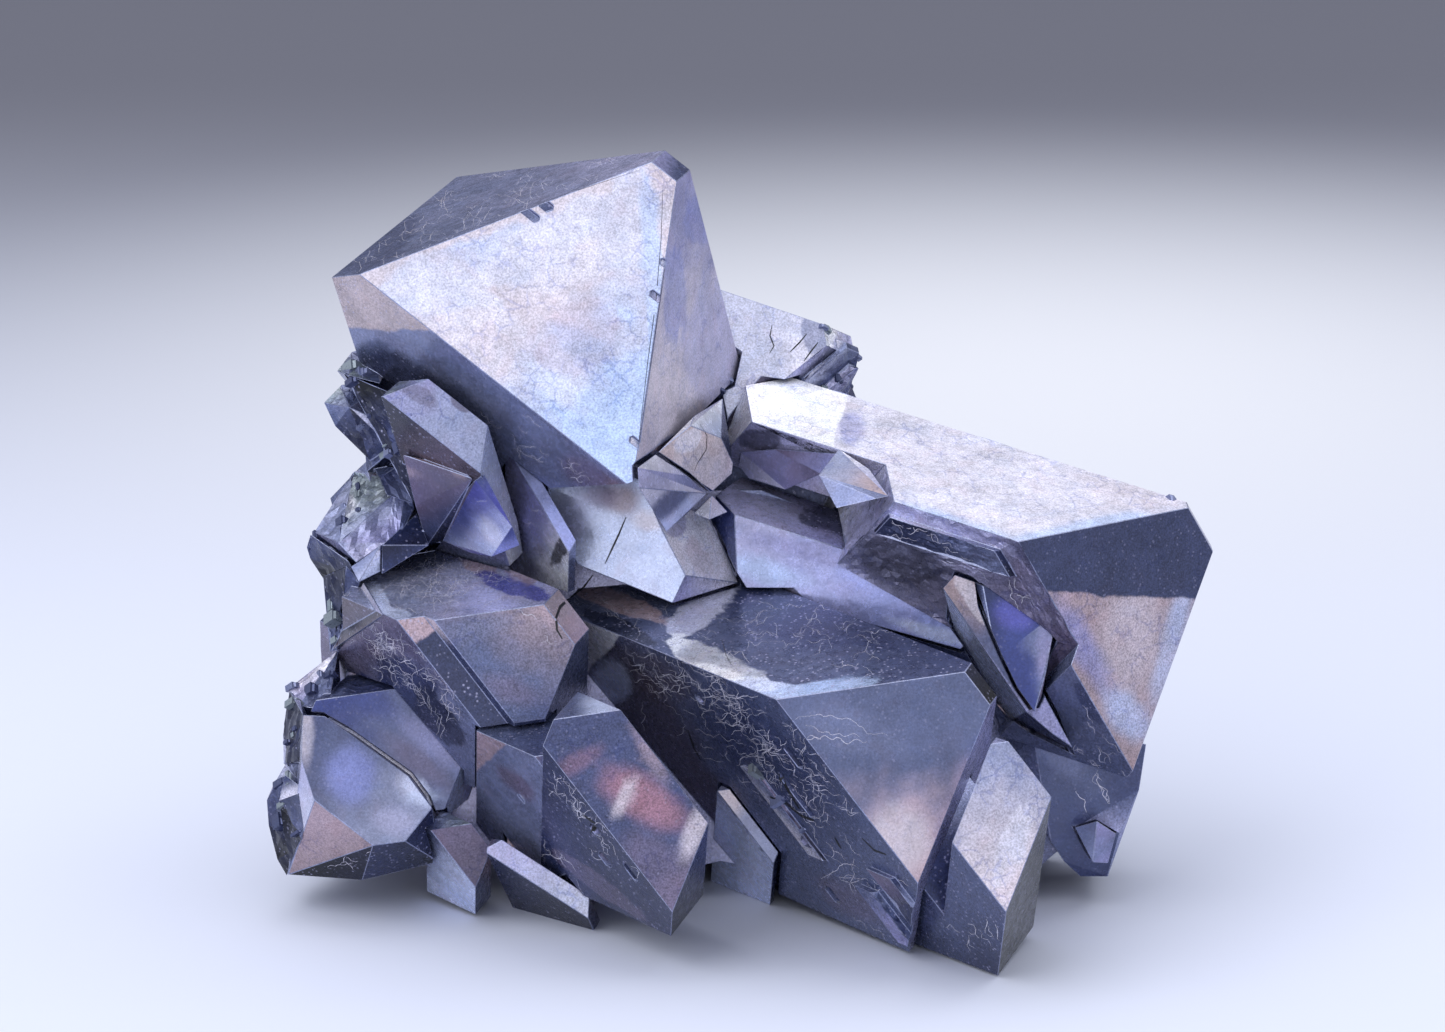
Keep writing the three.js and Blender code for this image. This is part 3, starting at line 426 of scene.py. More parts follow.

# Patches of another tone on a facet: place, half length, half width in pixels, heading, tone, strength, soft.
# Besides tarnish they hold painted highlights and painted reflections.
STAINS_AND_PAINTED_LIGHT = {
    "summit_front": [
        (605, 415, 82, 44, -50, PALE_BLUE, 0.80, 1.0), (480, 262, 110, 26, 22, PALE_BLUE, 0.5, 1.0),
        (590, 240, 90, 40, 30, SILVER, 0.7, 1.0), (632, 225, 24, 80, 0, FOG, 0.6, 1.0),
        (480, 330, 80, 34, -36, SILVER, 0.5, 1.0), (585, 325, 44, 30, 20, ROSE_BEIGE, 0.35, 1.0),
        (655, 300, 9, 130, 3, PALE_BLUE, 0.6, 0.7),
    ],
    "summit_roof": [(380, 245, 50, 16, 35, DUSK, 0.6, 1.0)],
    "summit_left": [
        (372, 352, 20, 10, -10, SLATE, 0.7, 0.9), (400, 374, 48, 16, -26, INK, 0.75, 0.9),
        (560, 470, 70, 16, -38, SLATE, 0.5, 1.0), (620, 492, 26, 10, -30, RUST, 0.8, 0.9),
        (588, 478, 30, 14, -38, MAUVE, 0.8, 0.9),
    ],
    "summit_right": [
        (700, 218, 16, 26, 0, PERIWINKLE, 0.55, 1.0), (728, 268, 9, 30, 6, PALE_BLUE, 0.5, 1.0),
        (674, 292, 11, 46, 0, PERIWINKLE, 0.5, 1.0), (715, 340, 34, 70, 0, LAVENDER, 0.6, 1.0),
        (660, 455, 40, 10, 40, STEEL, 0.6, 0.9),
    ],
    "behind_front": [(815, 330, 14, 22, 0, STEEL, 0.7, 0.8)],
    "east_roof": [
        (852, 428, 14, 15, 0, LAVENDER, 0.95, 0.35), (950, 525, 80, 10, -16, PALE_BLUE, 0.8, 0.8),
        (1085, 528, 95, 8, 12, PALE_BLUE, 0.75, 0.8), (830, 437, 50, 12, -16, WHITE, 0.7, 0.8),
        (1140, 500, 60, 12, -18, WARM_SILVER, 0.6, 0.9), (765, 405, 36, 22, 0, WHITE, 0.8, 0.9),
    ],
    "east_under": [(760, 440, 20, 10, 0, INK, 0.7, 0.8)],
    "east_left": [(1060, 570, 60, 20, -40, NAVY, 0.8, 0.9), (900, 560, 60, 26, -20, BLACK, 0.7, 0.9)],
    "east_front": [
        (1069, 594, 5, 20, -24, ROSE_BEIGE, 0.9, 0.6), (1084, 650, 15, 52, 32, PERIWINKLE, 0.55, 0.9),
        (1172, 640, 11, 60, -16, PALE_BLUE, 0.5, 0.9), (1132, 640, 30, 52, -10, WARM_SILVER, 0.45, 1.0),
        (1128, 715, 16, 30, 40, PALE_BLUE, 0.5, 0.9),
    ],
    "east_low_left": [(1090, 700, 26, 12, -50, DUSK, 0.7, 0.8)],
    "spur_face": [(1062, 760, 36, 14, -36, STEEL, 0.7, 0.9), (1100, 800, 30, 10, -60, SLATE, 0.7, 0.9)],
    "blade_face": [
        (975, 600, 30, 9, -55, WARM_SILVER, 0.7, 0.9), (1015, 665, 40, 5, -58, WHITE, 0.8, 0.8),
    ],
    "blue_face": [(1015, 615, 20, 14, -30, VIOLET, 0.9, 0.9)],
    "blue_face_low": [(1045, 650, 8, 30, 0, LILAC, 0.9, 0.7)],
    # The fog, white and ice patches at the front-left of this facet are a painted highlight.
    "centre_roof": [
        (728, 590, 46, 12, -8, NAVY, 0.6, 0.9), (612, 600, 60, 10, -20, ROSE_BEIGE, 0.9, 0.5),
        (790, 620, 100, 20, -16, NAVY, 0.5, 0.9), (620, 628, 46, 9, -24, INK, 0.8, 0.6),
        (697, 612, 40, 15, 38, FOG, 0.9, 0.30), (722, 668, 66, 13, -27, WHITE, 0.95, 0.35),
        (760, 690, 40, 9, 0, ICE, 0.9, 0.5), (820, 688, 62, 7, 9, PALE_BLUE, 0.8, 0.7),
        (800, 660, 90, 14, -4, SLATE, 0.5, 0.9),
    ],
    "centre_front": [
        (900, 840, 28, 34, 0, WARM_SILVER, 0.7, 0.9), (850, 730, 50, 20, -20, STEEL, 0.4, 1.0),
    ],
    "centre_left": [
        (660, 735, 72, 30, -55, GREY_BROWN, 0.9, 0.6), (720, 815, 72, 24, -58, GREY_BROWN, 0.85, 0.6),
        (640, 668, 60, 20, -30, BROWN, 0.6, 0.9), (770, 760, 90, 30, -45, NAVY, 0.7, 0.9),
        (850, 900, 40, 14, -30, MAUVE, 0.6, 0.9), (610, 680, 22, 18, -60, ICE, 0.9, 0.4),
    ],
    "pale_face": [
        (620, 500, 20, 14, -20, RUST, 0.7, 0.9), (598, 495, 20, 14, -20, MAUVE, 0.8, 0.8),
        (650, 520, 16, 10, 0, SILVER, 0.8, 0.8), (570, 520, 20, 26, -20, LILAC, 0.6, 0.9),
    ],
    "pale_right": [
        (700, 560, 24, 10, -60, WARM_SILVER, 0.6, 0.9), (672, 520, 16, 12, -60, LILAC, 0.6, 0.9),
    ],
    "streak_face": [(672, 500, 34, 10, 45, DUSK, 0.85, 0.8)],
    "crook_face": [(690, 440, 18, 10, 40, SILVER, 0.7, 0.9)],
    "strip_front": [
        (760, 570, 44, 12, -14, PALE_BLUE, 0.7, 0.9), (930, 632, 40, 7, -16, ICE, 0.8, 0.5),
        (830, 555, 80, 10, -12, LILAC, 0.8, 0.8),
    ],
    "strip_roof": [(850, 520, 50, 16, -12, INK, 0.7, 0.9)],
    "west_roof": [
        (478, 566, 20, 10, -30, ROSE_BEIGE, 0.9, 0.6), (515, 588, 40, 9, -14, VIOLET, 0.9, 0.8),
        (378, 598, 16, 9, -60, ICE, 0.95, 0.5), (390, 612, 20, 5, -10, ICE, 0.8, 0.5),
        (522, 572, 20, 8, -26, ROSE_BEIGE, 0.7, 0.6), (430, 560, 36, 9, 10, DUSK, 0.7, 0.9),
    ],
    "west_front": [
        (545, 612, 24, 8, -40, ROSE_BEIGE, 0.6, 0.9), (510, 690, 30, 14, -20, MAUVE, 0.6, 0.9),
        (480, 625, 30, 12, 10, STEEL, 0.5, 0.9),
    ],
    "west_left": [
        (352, 700, 34, 24, 0, DEEP_BLUE, 0.7, 0.9), (410, 690, 40, 22, -50, NAVY, 0.8, 0.9),
        (440, 720, 30, 14, -50, INK, 0.7, 0.9),
    ],
    "keel_back": [(515, 783, 26, 8, -40, MAUVE, 0.9, 0.6)],
    "keel_front": [
        (642, 798, 46, 20, -30, ROSE, 0.80, 0.9), (624, 798, 20, 7, 62, WARM_SILVER, 0.7, 0.9),
        (697, 828, 32, 10, 66, WARM_SILVER, 0.75, 0.9), (577, 762, 10, 26, -60, ROSE, 0.35, 0.9),
        (650, 862, 34, 22, -40, MAUVE, 0.6, 0.9), (650, 752, 8, 34, 30, ROSE_BEIGE, 0.5, 0.9),
    ],
    "keel_left": [(600, 886, 60, 8, -36, MAUVE, 0.6, 0.8), (520, 810, 26, 12, -60, SLATE, 0.5, 0.9)],
    "rose_front": [
        (370, 700, 40, 16, -30, DEEP_BLUE, 0.7, 0.9), (418, 762, 40, 14, -40, MAUVE, 0.6, 0.9),
        (430, 742, 50, 12, -40, LILAC, 0.5, 0.9), (412, 782, 34, 6, -32, ICE, 0.7, 0.7),
    ],
    "corner_front": [
        (350, 745, 30, 22, -30, SLATE, 0.6, 0.9), (350, 775, 22, 26, 0, PERIWINKLE, 0.8, 0.9),
        (420, 790, 22, 14, -30, ICE, 0.8, 0.8), (395, 822, 22, 14, -10, LAVENDER, 0.6, 0.9),
        (305, 730, 8, 34, 0, WARM_SILVER, 0.6, 0.9),
    ],
    "wedge_front": [
        (1000, 762, 34, 9, -30, PEWTER, 0.5, 1.0), (1012, 846, 14, 44, -20, SILVER, 0.6, 1.0),
    ],
    "lilac_front": [
        (415, 392, 26, 9, -30, GREY_BROWN, 0.5, 1.0), (462, 402, 12, 8, -30, GREY_BROWN, 0.7, 0.9),
    ],
    "streaked_high": [
        (462, 468, 10, 9, 0, TAN, 0.9, 0.7), (400, 470, 20, 5, -14, ROSE_BEIGE, 0.6, 0.9),
    ],
    "violet_face": [
        (492, 535, 18, 8, -60, WHITE, 0.5, 0.9), (455, 520, 16, 26, 0, DEEP_BLUE, 0.7, 0.9),
    ],
    "rim_left": [(566, 540, 8, 30, -30, BLACK, 0.8, 0.8)],
    "block_top": [(345, 505, 14, 10, -30, SILVER, 0.5, 0.8)],
}

# Networks of fine pale veins on a facet: place, half length, half width, heading of the network, how many
# veins, how long they are in pixels, and their own heading.
VEINS = {
    "centre_left": [
        (700, 690, 84, 40, -32, 80, 30, -42), (800, 780, 76, 48, -45, 70, 28, -42),
        (885, 900, 56, 26, -40, 60, 26, -34), (740, 770, 50, 30, -40, 14, 26, -42),
    ],
    "keel_left": [(590, 815, 66, 24, -50, 44, 24, -46), (560, 860, 60, 14, -40, 8, 22, -40)],
    "west_left": [(400, 650, 44, 30, -40, 46, 26, -46), (440, 690, 38, 34, -50, 36, 24, -46)],
    "west_roof": [(440, 580, 90, 30, 4, 100, 28, 10)],
    "west_front": [(540, 620, 30, 14, -30, 3, 24, -30)],
    "summit_roof": [(470, 205, 190, 44, 20, 150, 22, 20)],
    "summit_left": [(540, 450, 90, 14, -38, 18, 26, -30)],
    "rim_left": [(548, 520, 16, 50, 12, 12, 16, -20)],
    "centre_roof": [(780, 625, 110, 36, -10, 46, 26, 10), (600, 595, 60, 20, -18, 40, 24, -20)],
    "centre_front": [(860, 738, 70, 16, 4, 4, 70, 0)],
    "east_low_left": [(1110, 720, 30, 40, -50, 8, 22, -50), (1095, 760, 30, 12, -30, 8, 20, -30)],
    "spur_face": [(1100, 780, 30, 20, -40, 7, 20, -60)],
    "wedge_left": [(985, 925, 20, 34, -60, 9, 20, -60)],
    "corner_under": [(360, 862, 60, 10, -6, 10, 22, 0)],
    "east_ledge": [(900, 535, 60, 10, -20, 12, 26, -16)],
    "under_pale": [(590, 585, 50, 8, -16, 8, 20, -16)],
    "east_left": [(1010, 585, 40, 14, -40, 8, 22, -40)],
    "behind_front": [(775, 340, 26, 26, 0, 8, 20, 70)],
    "violet_face": [(470, 500, 20, 20, 0, 2, 24, -30)],
}

# Open cracks, drawn as black bands whose black is painted shade inside them: width in millimetres, and the
# line in picture pixels.
CRACKS = {
    "west_gap": (0.22, ((593, 575), (583, 588), (570, 598), (560, 607), (556, 618), (557, 630), (564, 642))),
    "pale_face_split": (0.14, ((626, 517), (619, 534), (611, 551), (603, 568))),
    "crook_split": (0.08, ((700, 424), (707, 436), (706, 450), (698, 462), (693, 474))),
    "behind_split_left": (0.10, ((772, 325), (770, 336), (774, 346), (768, 356))),
    "behind_split_middle": (0.12, ((790, 352), (800, 342), (809, 331))),
    "behind_split_right": (0.12, ((804, 361), (812, 350), (820, 340))),
    "behind_foot_gap": (0.10, ((862, 372), (880, 384), (905, 392))),
    "summit_front_split": (0.05, ((663, 185), (661, 240), (656, 300), (648, 360), (641, 420), (638, 455))),
    "summit_ridge_split": (0.03, ((640, 170), (560, 196), (470, 232))),
    "centre_roof_split": (0.05, ((722, 640), (726, 655), (733, 668))),
    "centre_gash": (0.45, ((776, 768), (788, 790), (803, 815))),
    "centre_gash_branch": (0.40, ((770, 797), (786, 803), (802, 816), (818, 822))),
    "centre_nick": (0.25, ((688, 730), (694, 748), (703, 764))),
    "centre_notch": (0.3, ((835, 838), (843, 852))),
    "centre_notch_right": (0.25, ((862, 838), (874, 850), (890, 856))),
    "keel_gash": (0.40, ((583, 815), (596, 824), (590, 838))),
}


def shade(tone):
    """A tone's colour as linear light: red, green and blue from 0 to 1."""
    shares = [value / 255 for value in tone]
    return tuple(share / 12.92 if share <= 0.04045 else ((share + 0.055) / 1.055) ** 2.4 for share in shares)


def sight(px, py):
    """The direction from the eye through a place in the picture."""
    across = (px - PICTURE_WIDTH / 2) * PIXEL
    up = (PICTURE_HEIGHT / 2 - py) * PIXEL
    return (AIM + ACROSS * across + UP * up - EYE).normalized()


def seen(points):
    """Where points show in the picture, as an array of pixel places."""
    away = np.asarray(points, float) - np.array(EYE)
    depth = away @ np.array(INTO) / VIEW_DISTANCE
    across = away @ np.array(ACROSS) / depth / PIXEL + PICTURE_WIDTH / 2
    down = PICTURE_HEIGHT / 2 - away @ np.array(UP) / depth / PIXEL
    return np.stack([across, down], 1)


def linked(name, data):
    made = bpy.data.objects.new(name, data)
    bpy.context.scene.collection.objects.link(made)
    return made


def edit(piece):
    """Opens one piece in edit mode, with all of it selected."""
    bpy.ops.object.select_all(action="DESELECT")
    piece.select_set(True)
    bpy.context.view_layer.objects.active = piece
    bpy.ops.object.mode_set(mode="EDIT")
    bpy.ops.mesh.select_all(action="SELECT")


def keep(piece):
    """The piece belongs to the cluster: it is attached to the root body."""
    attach(piece, "root")
    return piece


def new_piece(name, points, faces, material):
    mesh = bpy.data.meshes.new(name)
    mesh.from_pydata([tuple(point) for point in points], [], faces)
    mesh.materials.append(material)
    keep(linked(name, mesh))


# The mesh of the cluster's faces


def merged_copy(node, materials):
    """A copy of the solid with its loose triangles joined."""
    piece = linked("galena_faces", node.data.copy())
    piece.data.materials.clear()
    for material in materials:
        piece.data.materials.append(material)
    edit(piece)
    bpy.ops.mesh.remove_doubles(threshold=MERGE_REACH)
    bpy.ops.object.mode_set(mode="OBJECT")
    return piece


def number_facets(piece):
    """Gives each flat facet a number, kept on its faces."""
    mesh = bmesh.new()
    mesh.from_mesh(piece.data)
    layer = mesh.faces.layers.int.new("facet")
    number = 0
    for start in mesh.faces:
        if start[layer]:
            continue
        number += 1
        start[layer] = number
        front = [start]
        while front:
            for edge in front.pop().edges:
                if edge.calc_face_angle(math.pi) > FLAT_ANGLE:
                    continue
                for other in edge.link_faces:
                    if not other[layer]:
                        other[layer] = number
                        front.append(other)
    mesh.to_mesh(piece.data)
    mesh.free()


def vectors_of(items, name):
    values = np.zeros(len(items) * 3)
    items.foreach_get(name, values)
    return values.reshape(-1, 3)


def counts_of(items, name):
    values = np.zeros(len(items), np.int32)
    items.foreach_get(name, values)
    return values


def facet_numbers(mesh):
    return counts_of(mesh.attributes["facet"].data, "value")


class Surface:
    """The cluster's facets by number, named by looking at them from the showing side."""

    def __init__(self, piece):
        mesh = piece.data
        points = [vertex.co.copy() for vertex in mesh.vertices]
        self.tree = BVHTree.FromPolygons(points, [tuple(face.vertices) for face in mesh.polygons])
        self.numbers = [int(number) for number in facet_numbers(mesh)]
        self.named = {}
        for name, facet in FACETS.items():
            found = self.at(facet.px, facet.py)
            if found:
                self.named.setdefault(found[0], name)
        self.number_of = {name: number for number, name in self.named.items()}
        self.back = {self.numbers[face.index] for face in mesh.polygons
                     if face.center.y > BACK_FROM and face.center.z < BACK_BELOW} - set(self.named)
        self.broken = {number for name, number in self.number_of.items() if FACETS[name].finish == "broken"}

    def at(self, px, py):
        """The facet number, place and normal that show at a place in the picture."""
        place, normal, index, _ = self.tree.ray_cast(EYE, sight(px, py))
        return None if place is None else (self.numbers[index], place, normal)


def wear_edges(piece):
    """Cuts every sharp edge back by a hair; the new faces take the second material, whose lighter tone paints
    a highlight along the worn edges.
    """
    edit(piece)
    bpy.ops.mesh.dissolve_degenerate(threshold=CRUMB)
    bpy.ops.mesh.select_all(action="SELECT")
    bpy.ops.mesh.dissolve_limited(angle_limit=STRAIGHT_ANGLE)
    bpy.ops.object.mode_set(mode="OBJECT")
    bevel = piece.modifiers.new("worn_edges_painted_highlight", "BEVEL")
    bevel.width = EDGE_WEAR
    bevel.segments = 1
    bevel.limit_method = "ANGLE"
    bevel.angle_limit = EDGE_ANGLE
    bevel.use_clamp_overlap = False
    bevel.material = 1
    bpy.ops.object.modifier_apply(modifier=bevel.name)


def refine(piece, painted):
    """Divides long edges until the mesh is fine enough to paint."""
    edit(piece)
    bpy.ops.mesh.select_mode(type="EDGE")
    bpy.ops.mesh.quads_convert_to_tris(quad_method="BEAUTY", ngon_method="BEAUTY")
    for _ in range(DIVISIONS):
        mesh = bmesh.from_edit_mesh(piece.data)
        layer = mesh.faces.layers.int["facet"]
        count = 0
        bpy.ops.mesh.select_all(action="DESELECT")
        for edge in mesh.edges:
            fine = any(face.material_index == 0 and face[layer] in painted for face in edge.link_faces)
            if edge.calc_length() > (FINE if fine else COARSE):
                edge.select_set(True)
                count += 1
        if not count:
            break
        bmesh.update_edit_mesh(piece.data)
        bpy.ops.mesh.subdivide(number_cuts=1)
        bpy.ops.mesh.select_all(action="SELECT")
        bpy.ops.mesh.quads_convert_to_tris(quad_method="SHORTEST_DIAGONAL", ngon_method="BEAUTY")
    bpy.ops.object.mode_set(mode="OBJECT")


def roughen(piece, surface):
    """Makes the broken surfaces uneven, and keeps the cluster inside its own box."""
    mesh = piece.data
    loose = surface.back | surface.broken
    points = vectors_of(mesh.vertices, "co")
    normals = vectors_of(mesh.vertices, "normal")
    broken = np.ones(len(points), bool)
    for face, number in zip(mesh.polygons, facet_numbers(mesh)):
        if int(number) not in loose:
            broken[list(face.vertices)] = False
    for index in np.nonzero(broken)[0]:
        place = Vector(points[index]) / MM
        small = SMALL_LUMP_SHARE * noise.noise(place * SMALL_LUMPS + LUMP_SHIFT)
        lift = noise.noise(place * WIDE_LUMPS) + small - LUMPS_SUNK
        points[index] += normals[index] * lift * ROUGH_RELIEF
    low, high = (np.array(corner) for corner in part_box("galena_cluster"))
    mesh.vertices.foreach_set("co", np.clip(points, low, high).ravel())
    mesh.update()


# The tones painted on each facet


def blurred_step(value, middle, soft):
    """0 below the middle and 1 above it, with a change as wide as soft."""
    share = np.clip((value - middle) / max(soft, 1e-3) + 0.5, 0, 1)
    return share * share * (3 - 2 * share)


def hidden_facet(number, normal, surface):
    """The tones and finish of a facet that doesn't show in the picture; tops get lighter tones and undersides
    darker ones, as painted light and shade.
    """
    pick = random.Random(number * FACET_SEED)
    if normal[2] > UPWARD:
        choices = ((SLATE, STEEL), (DUSK, STEEL), (STEEL, LAVENDER))
    elif normal[2] < DOWNWARD:
        choices = ((INK, NAVY), (NAVY, DUSK), (DUSK, GREY_BROWN))
    else:
        choices = ((DUSK, SLATE), (NAVY, SLATE), (SLATE, LILAC), (STEEL, SILVER),
                   (MAUVE, SLATE), (DUSK, ROSE_BEIGE), (SLATE, LAVENDER))
    finish = "broken" if number in surface.back else "dark"
    tones = pick.choice(choices)
    return Facet(0, 0, *tones, heading=pick.uniform(-180, 180), split=0.5, soft=0.8, finish=finish)


def ways(heading):
    """The directions along and across a heading in the picture, where y runs down."""
    turn = math.radians(heading)
    return np.array((math.cos(turn), -math.sin(turn))), np.array((math.sin(turn), math.cos(turn)))


def tarnish_and_painted_light(facet, stains_and_light, at, wander):
    """One facet's tones, its patches' tones, how far the patches cover, and how ragged they are. The tones
    hold tarnish together with painted reflections, highlights and shade.
    """
    way, _ = ways(facet.heading)
    run = at @ way
    first = run.min()
    length = max(run.max() - first, 1)
    run = (run - first) / length
    start, end = np.array(shade(facet.near)), np.array(shade(facet.far))
    sharp = facet.soft < SHARP
    if sharp:
        cover = np.clip(0.5 + ((run - facet.split) * length + BORDER_WANDER * wander) / SPLIT_PIXELS, 0, 1)
        tone = np.tile(start, (len(at), 1))
        patch = np.tile(end, (len(at), 1))
    else:
        bend = min(BEND_MOST, BEND_PIXELS / length + BEND_SOFT * facet.soft)
        blend = blurred_step(run + wander * bend, facet.split, facet.soft)[:, None]
        cover = np.zeros(len(at))
        tone = start * (1 - blend) + end * blend
        patch = tone.copy()
    for px, py, long, wide, heading, patch_tone, strength, soft in stains_and_light:
        place = np.array((px, py))
        along, aside = ((at - place) @ side / size for side, size in zip(ways(heading), (long, wide)))
        reach = np.sqrt(along * along + aside * aside) + PATCH_WANDER * wander
        inside = 1 - blurred_step(reach, 1, soft)
        patch_tone = np.array(shade(patch_tone))
        middle = (place @ way - first) / length
        if sharp or facet.finish in SOFT_FINISHES:
            share = (strength * inside)[:, None]
            if not sharp or middle < facet.split:
                tone = tone * (1 - share) + patch_tone * share
            if not sharp or middle > facet.split:
                patch = patch * (1 - share) + patch_tone * share
        else:
            share = (strength * np.clip(inside / PATCH_RIM, 0, 1))[:, None]
            patch = patch * (1 - share) + patch_tone * share
            cover = np.maximum(cover, inside)
    return tone, patch, cover, 0.0 if sharp else 1.0


def paint(piece, surface):
    """Lays the tarnish and wear of every facet down as colours on the mesh, with the painted reflections,
    highlights and shade that its tones hold.
    """
    mesh = piece.data
    points = vectors_of(mesh.vertices, "co")
    normals = vectors_of(mesh.polygons, "normal")
    corners = counts_of(mesh.loops, "vertex_index")
    totals = counts_of(mesh.polygons, "loop_total")
    corner_face = np.repeat(np.arange(len(totals)), totals)
    corner_number = facet_numbers(mesh)[corner_face]
    places = seen(points)[corners]
    drift, cloud = (np.array([noise.noise(Vector(point) / MM * often + start) for point in points])[corners]
                    for often, start in (DRIFT, CLOUD))
    wander = DRIFT_SHARE * drift + CLOUD_SHARE * cloud
    layers = {name: np.zeros((len(corners), 4), np.float32) for name in ("tone", "patch", "wear")}
    for number in np.unique(corner_number):
        where = np.nonzero(corner_number == number)[0]
        name = surface.named.get(int(number))
        normal = normals[corner_face[where[0]]]
        facet = FACETS[name] if name else hidden_facet(int(number), normal, surface)
        tone, patch, cover, ragged = tarnish_and_painted_light(facet, STAINS_AND_PAINTED_LIGHT.get(name, ()), places[where], wander[where])
        uneven = 1 + UNEVEN * cloud[where][:, None]
        layers["tone"][where, :3] = tone * uneven
        layers["tone"][where, 3] = ragged
        layers["patch"][where, :3] = patch * uneven
        layers["patch"][where, 3] = cover
        layers["wear"][where] = FINISHES[facet.finish]
    for name, values in layers.items():
        layer = mesh.color_attributes.new(name, "FLOAT_COLOR", "CORNER")
        layer.data.foreach_set("color", values.ravel())


# Finishes


class Wire:
    """A value that leaves a node; adding, taking away and multiplying wires makes Math nodes."""

    def __init__(self, node, out=0):
        self.tree = node.id_data
        self.socket = node.outputs[out]

    def math(self, kind, other):
        return Wire(new_node(self.tree, "Math", {0: self, 1: other}, operation=kind))

    def __add__(self, other):
        return self.math("ADD", other)

    def __sub__(self, other):
        return self.math("SUBTRACT", other)

    def __mul__(self, other):
        return self.math("MULTIPLY", other)


def feed(node, given):
    """Gives a node's sockets, by name or number, their wires and values."""
    for socket, value in given.items():
        if isinstance(value, Wire):
            node.id_data.links.new(value.socket, node.inputs[socket])
        else:
            node.inputs[socket].default_value = value


def new_node(tree, kind, given, **settings):
    node = tree.nodes.new("ShaderNode" + kind)
    for name, value in settings.items():
        setattr(node, name, value)
    feed(node, given)
    return node


def object_place(tree):
    return Wire(new_node(tree, "TexCoord", {}), "Object")


def noise_of(place, pattern, detail=2.0, rough=0.5, distortion=0.0, out="Fac"):
    given = {"Vector": place, "Scale": PATTERNS[pattern], "Detail": detail, "Roughness": rough,
             "Distortion": distortion}
    return Wire(new_node(place.tree, "TexNoise", given), out)


def cells_of(place, pattern, feature="F1"):
    given = {"Vector": place, "Scale": PATTERNS[pattern]}
    return Wire(new_node(place.tree, "TexVoronoi", given, feature=feature), "Distance")


def spread(value, low, high, to_low=0.0, to_high=1.0):
    given = {"Value": value, "From Min": low, "From Max": high, "To Min": to_low, "To Max": to_high}
    return Wire(new_node(value.tree, "MapRange", given, interpolation_type="SMOOTHSTEP"), "Result")


def mixed(tree, kind, share, one, other):
    given = {0: share, 6: one, 7: other}
    given = {socket: (*value, 1) if isinstance(value, tuple) else value for socket, value in given.items()}
    return Wire(new_node(tree, "Mix", given, data_type="RGBA", blend_type=kind), 2)


def zones(place, pattern, low, high):
    """Where a pattern of the tarnish shows."""
    return spread(noise_of(place, pattern, 3, 0.6), low, high)


def tarnish_group():
    """Grain, tint, dark pits and pale dots laid over a tone; gives colour, roughness and height."""
    group = bpy.data.node_groups.new("tarnish", "ShaderNodeTree")
    for name in ("Tone", "Patch", "Ragged", "Cover", "Pits", "Dots", "Grain", "Rough"):
        kind = "NodeSocketColor" if name in ("Tone", "Patch") else "NodeSocketFloat"
        group.interface.new_socket(name, in_out="INPUT", socket_type=kind)
    for name, kind in (("Color", "Color"), ("Roughness", "Float"), ("Height", "Float")):
        group.interface.new_socket(name, in_out="OUTPUT", socket_type="NodeSocket" + kind)
    inputs = group.nodes.new("NodeGroupInput")
    tone, patch, ragged, cover, pitted, dotted, grain, rough = (Wire(inputs, number) for number in range(8))
    place = object_place(group)

    fine = noise_of(place, "fine", 3, 0.65)
    middling = noise_of(place, "middling", 4, 0.6)
    wide = noise_of(place, "wide", 3, 0.55)
    tint = noise_of(place, "tint", 4, 0.6, 0.4)

    # Patches, with a sharp edge or a ragged one.
    cover = cover + (noise_of(place, "edge", 9, 0.78) - 0.5) * (ragged * 1.1 + 0.12)
    sharp_edge = spread(cover, 0.47, 0.53)
    ragged_edge = spread(cover, 0.30, 0.70)
    colour = mixed(group, "MIX", sharp_edge + (ragged_edge - sharp_edge) * ragged, tone, patch)

    # Grain, and warmer and cooler tints.
    light = spread(fine, 0.3, 0.7, -0.7, 0.7) + spread(middling, 0.3, 0.7, -0.18, 0.18)
    light = light * grain * GRAIN_STRENGTH + spread(wide, 0.3, 0.7, 0.90, 1.10)
    colour = mixed(group, "MULTIPLY", 1.0, colour, light)
    warm = mixed(group, "MULTIPLY", 0.4, colour, WARM_TINT)
    cool = mixed(group, "MULTIPLY", 0.4, colour, COOL_TINT)
    colour = mixed(group, "MIX", spread(tint, 0.54, 0.64) * WARM_STRENGTH, colour, warm)
    colour = mixed(group, "MIX", spread(tint, 0.46, 0.36, 0.0, COOL_STRENGTH), colour, cool)

    # Dark pits, small and large.
    pits = spread(cells_of(place, "pits"), 0.26, 0.16) * zones(place, "pit_zone", 0.50, 0.72)
    pits = pits.math("MAXIMUM", spread(cells_of(place, "big_pits"), 0.20, 0.13) * BIG_PIT_SHARE) * pitted
    colour = mixed(group, "MULTIPLY", pits * PIT_STRENGTH, colour, PIT_TINT)

    # A fine web of tarnish, along the edges of cells whose places are pushed about by a noise.
    push = {0: noise_of(place, "web_bend", out="Color"), 1: WEB_PUSH, 2: place}
    bent = Wire(new_node(group, "VectorMath", push, operation="MULTIPLY_ADD"), "Vector")
    web = spread(cells_of(bent, "web", "DISTANCE_TO_EDGE"), 0.07, 0.02)
    web = web * zones(place, "web_zone", 0.46, 0.60) * pitted
    colour = mixed(group, "MULTIPLY", web * WEB_STRENGTH, colour, WEB_TINT)

    # Pale dots.
    dots = spread(cells_of(place, "dots"), 0.30, 0.16) * zones(place, "dot_zone", 0.40, 0.60)
    colour = mixed(group, "MIX", dots * dotted * DOT_STRENGTH, colour, shade(LAVENDER))

    rough = rough + spread(middling, 0.3, 0.7, -0.05, 0.08) + pits * 0.3
    height = (middling * 0.5 + fine * 0.25) * grain - pits * 0.8 + wide * 1.6
    feed(group.nodes.new("NodeGroupOutput"), {"Color": colour, "Roughness": rough, "Height": height})


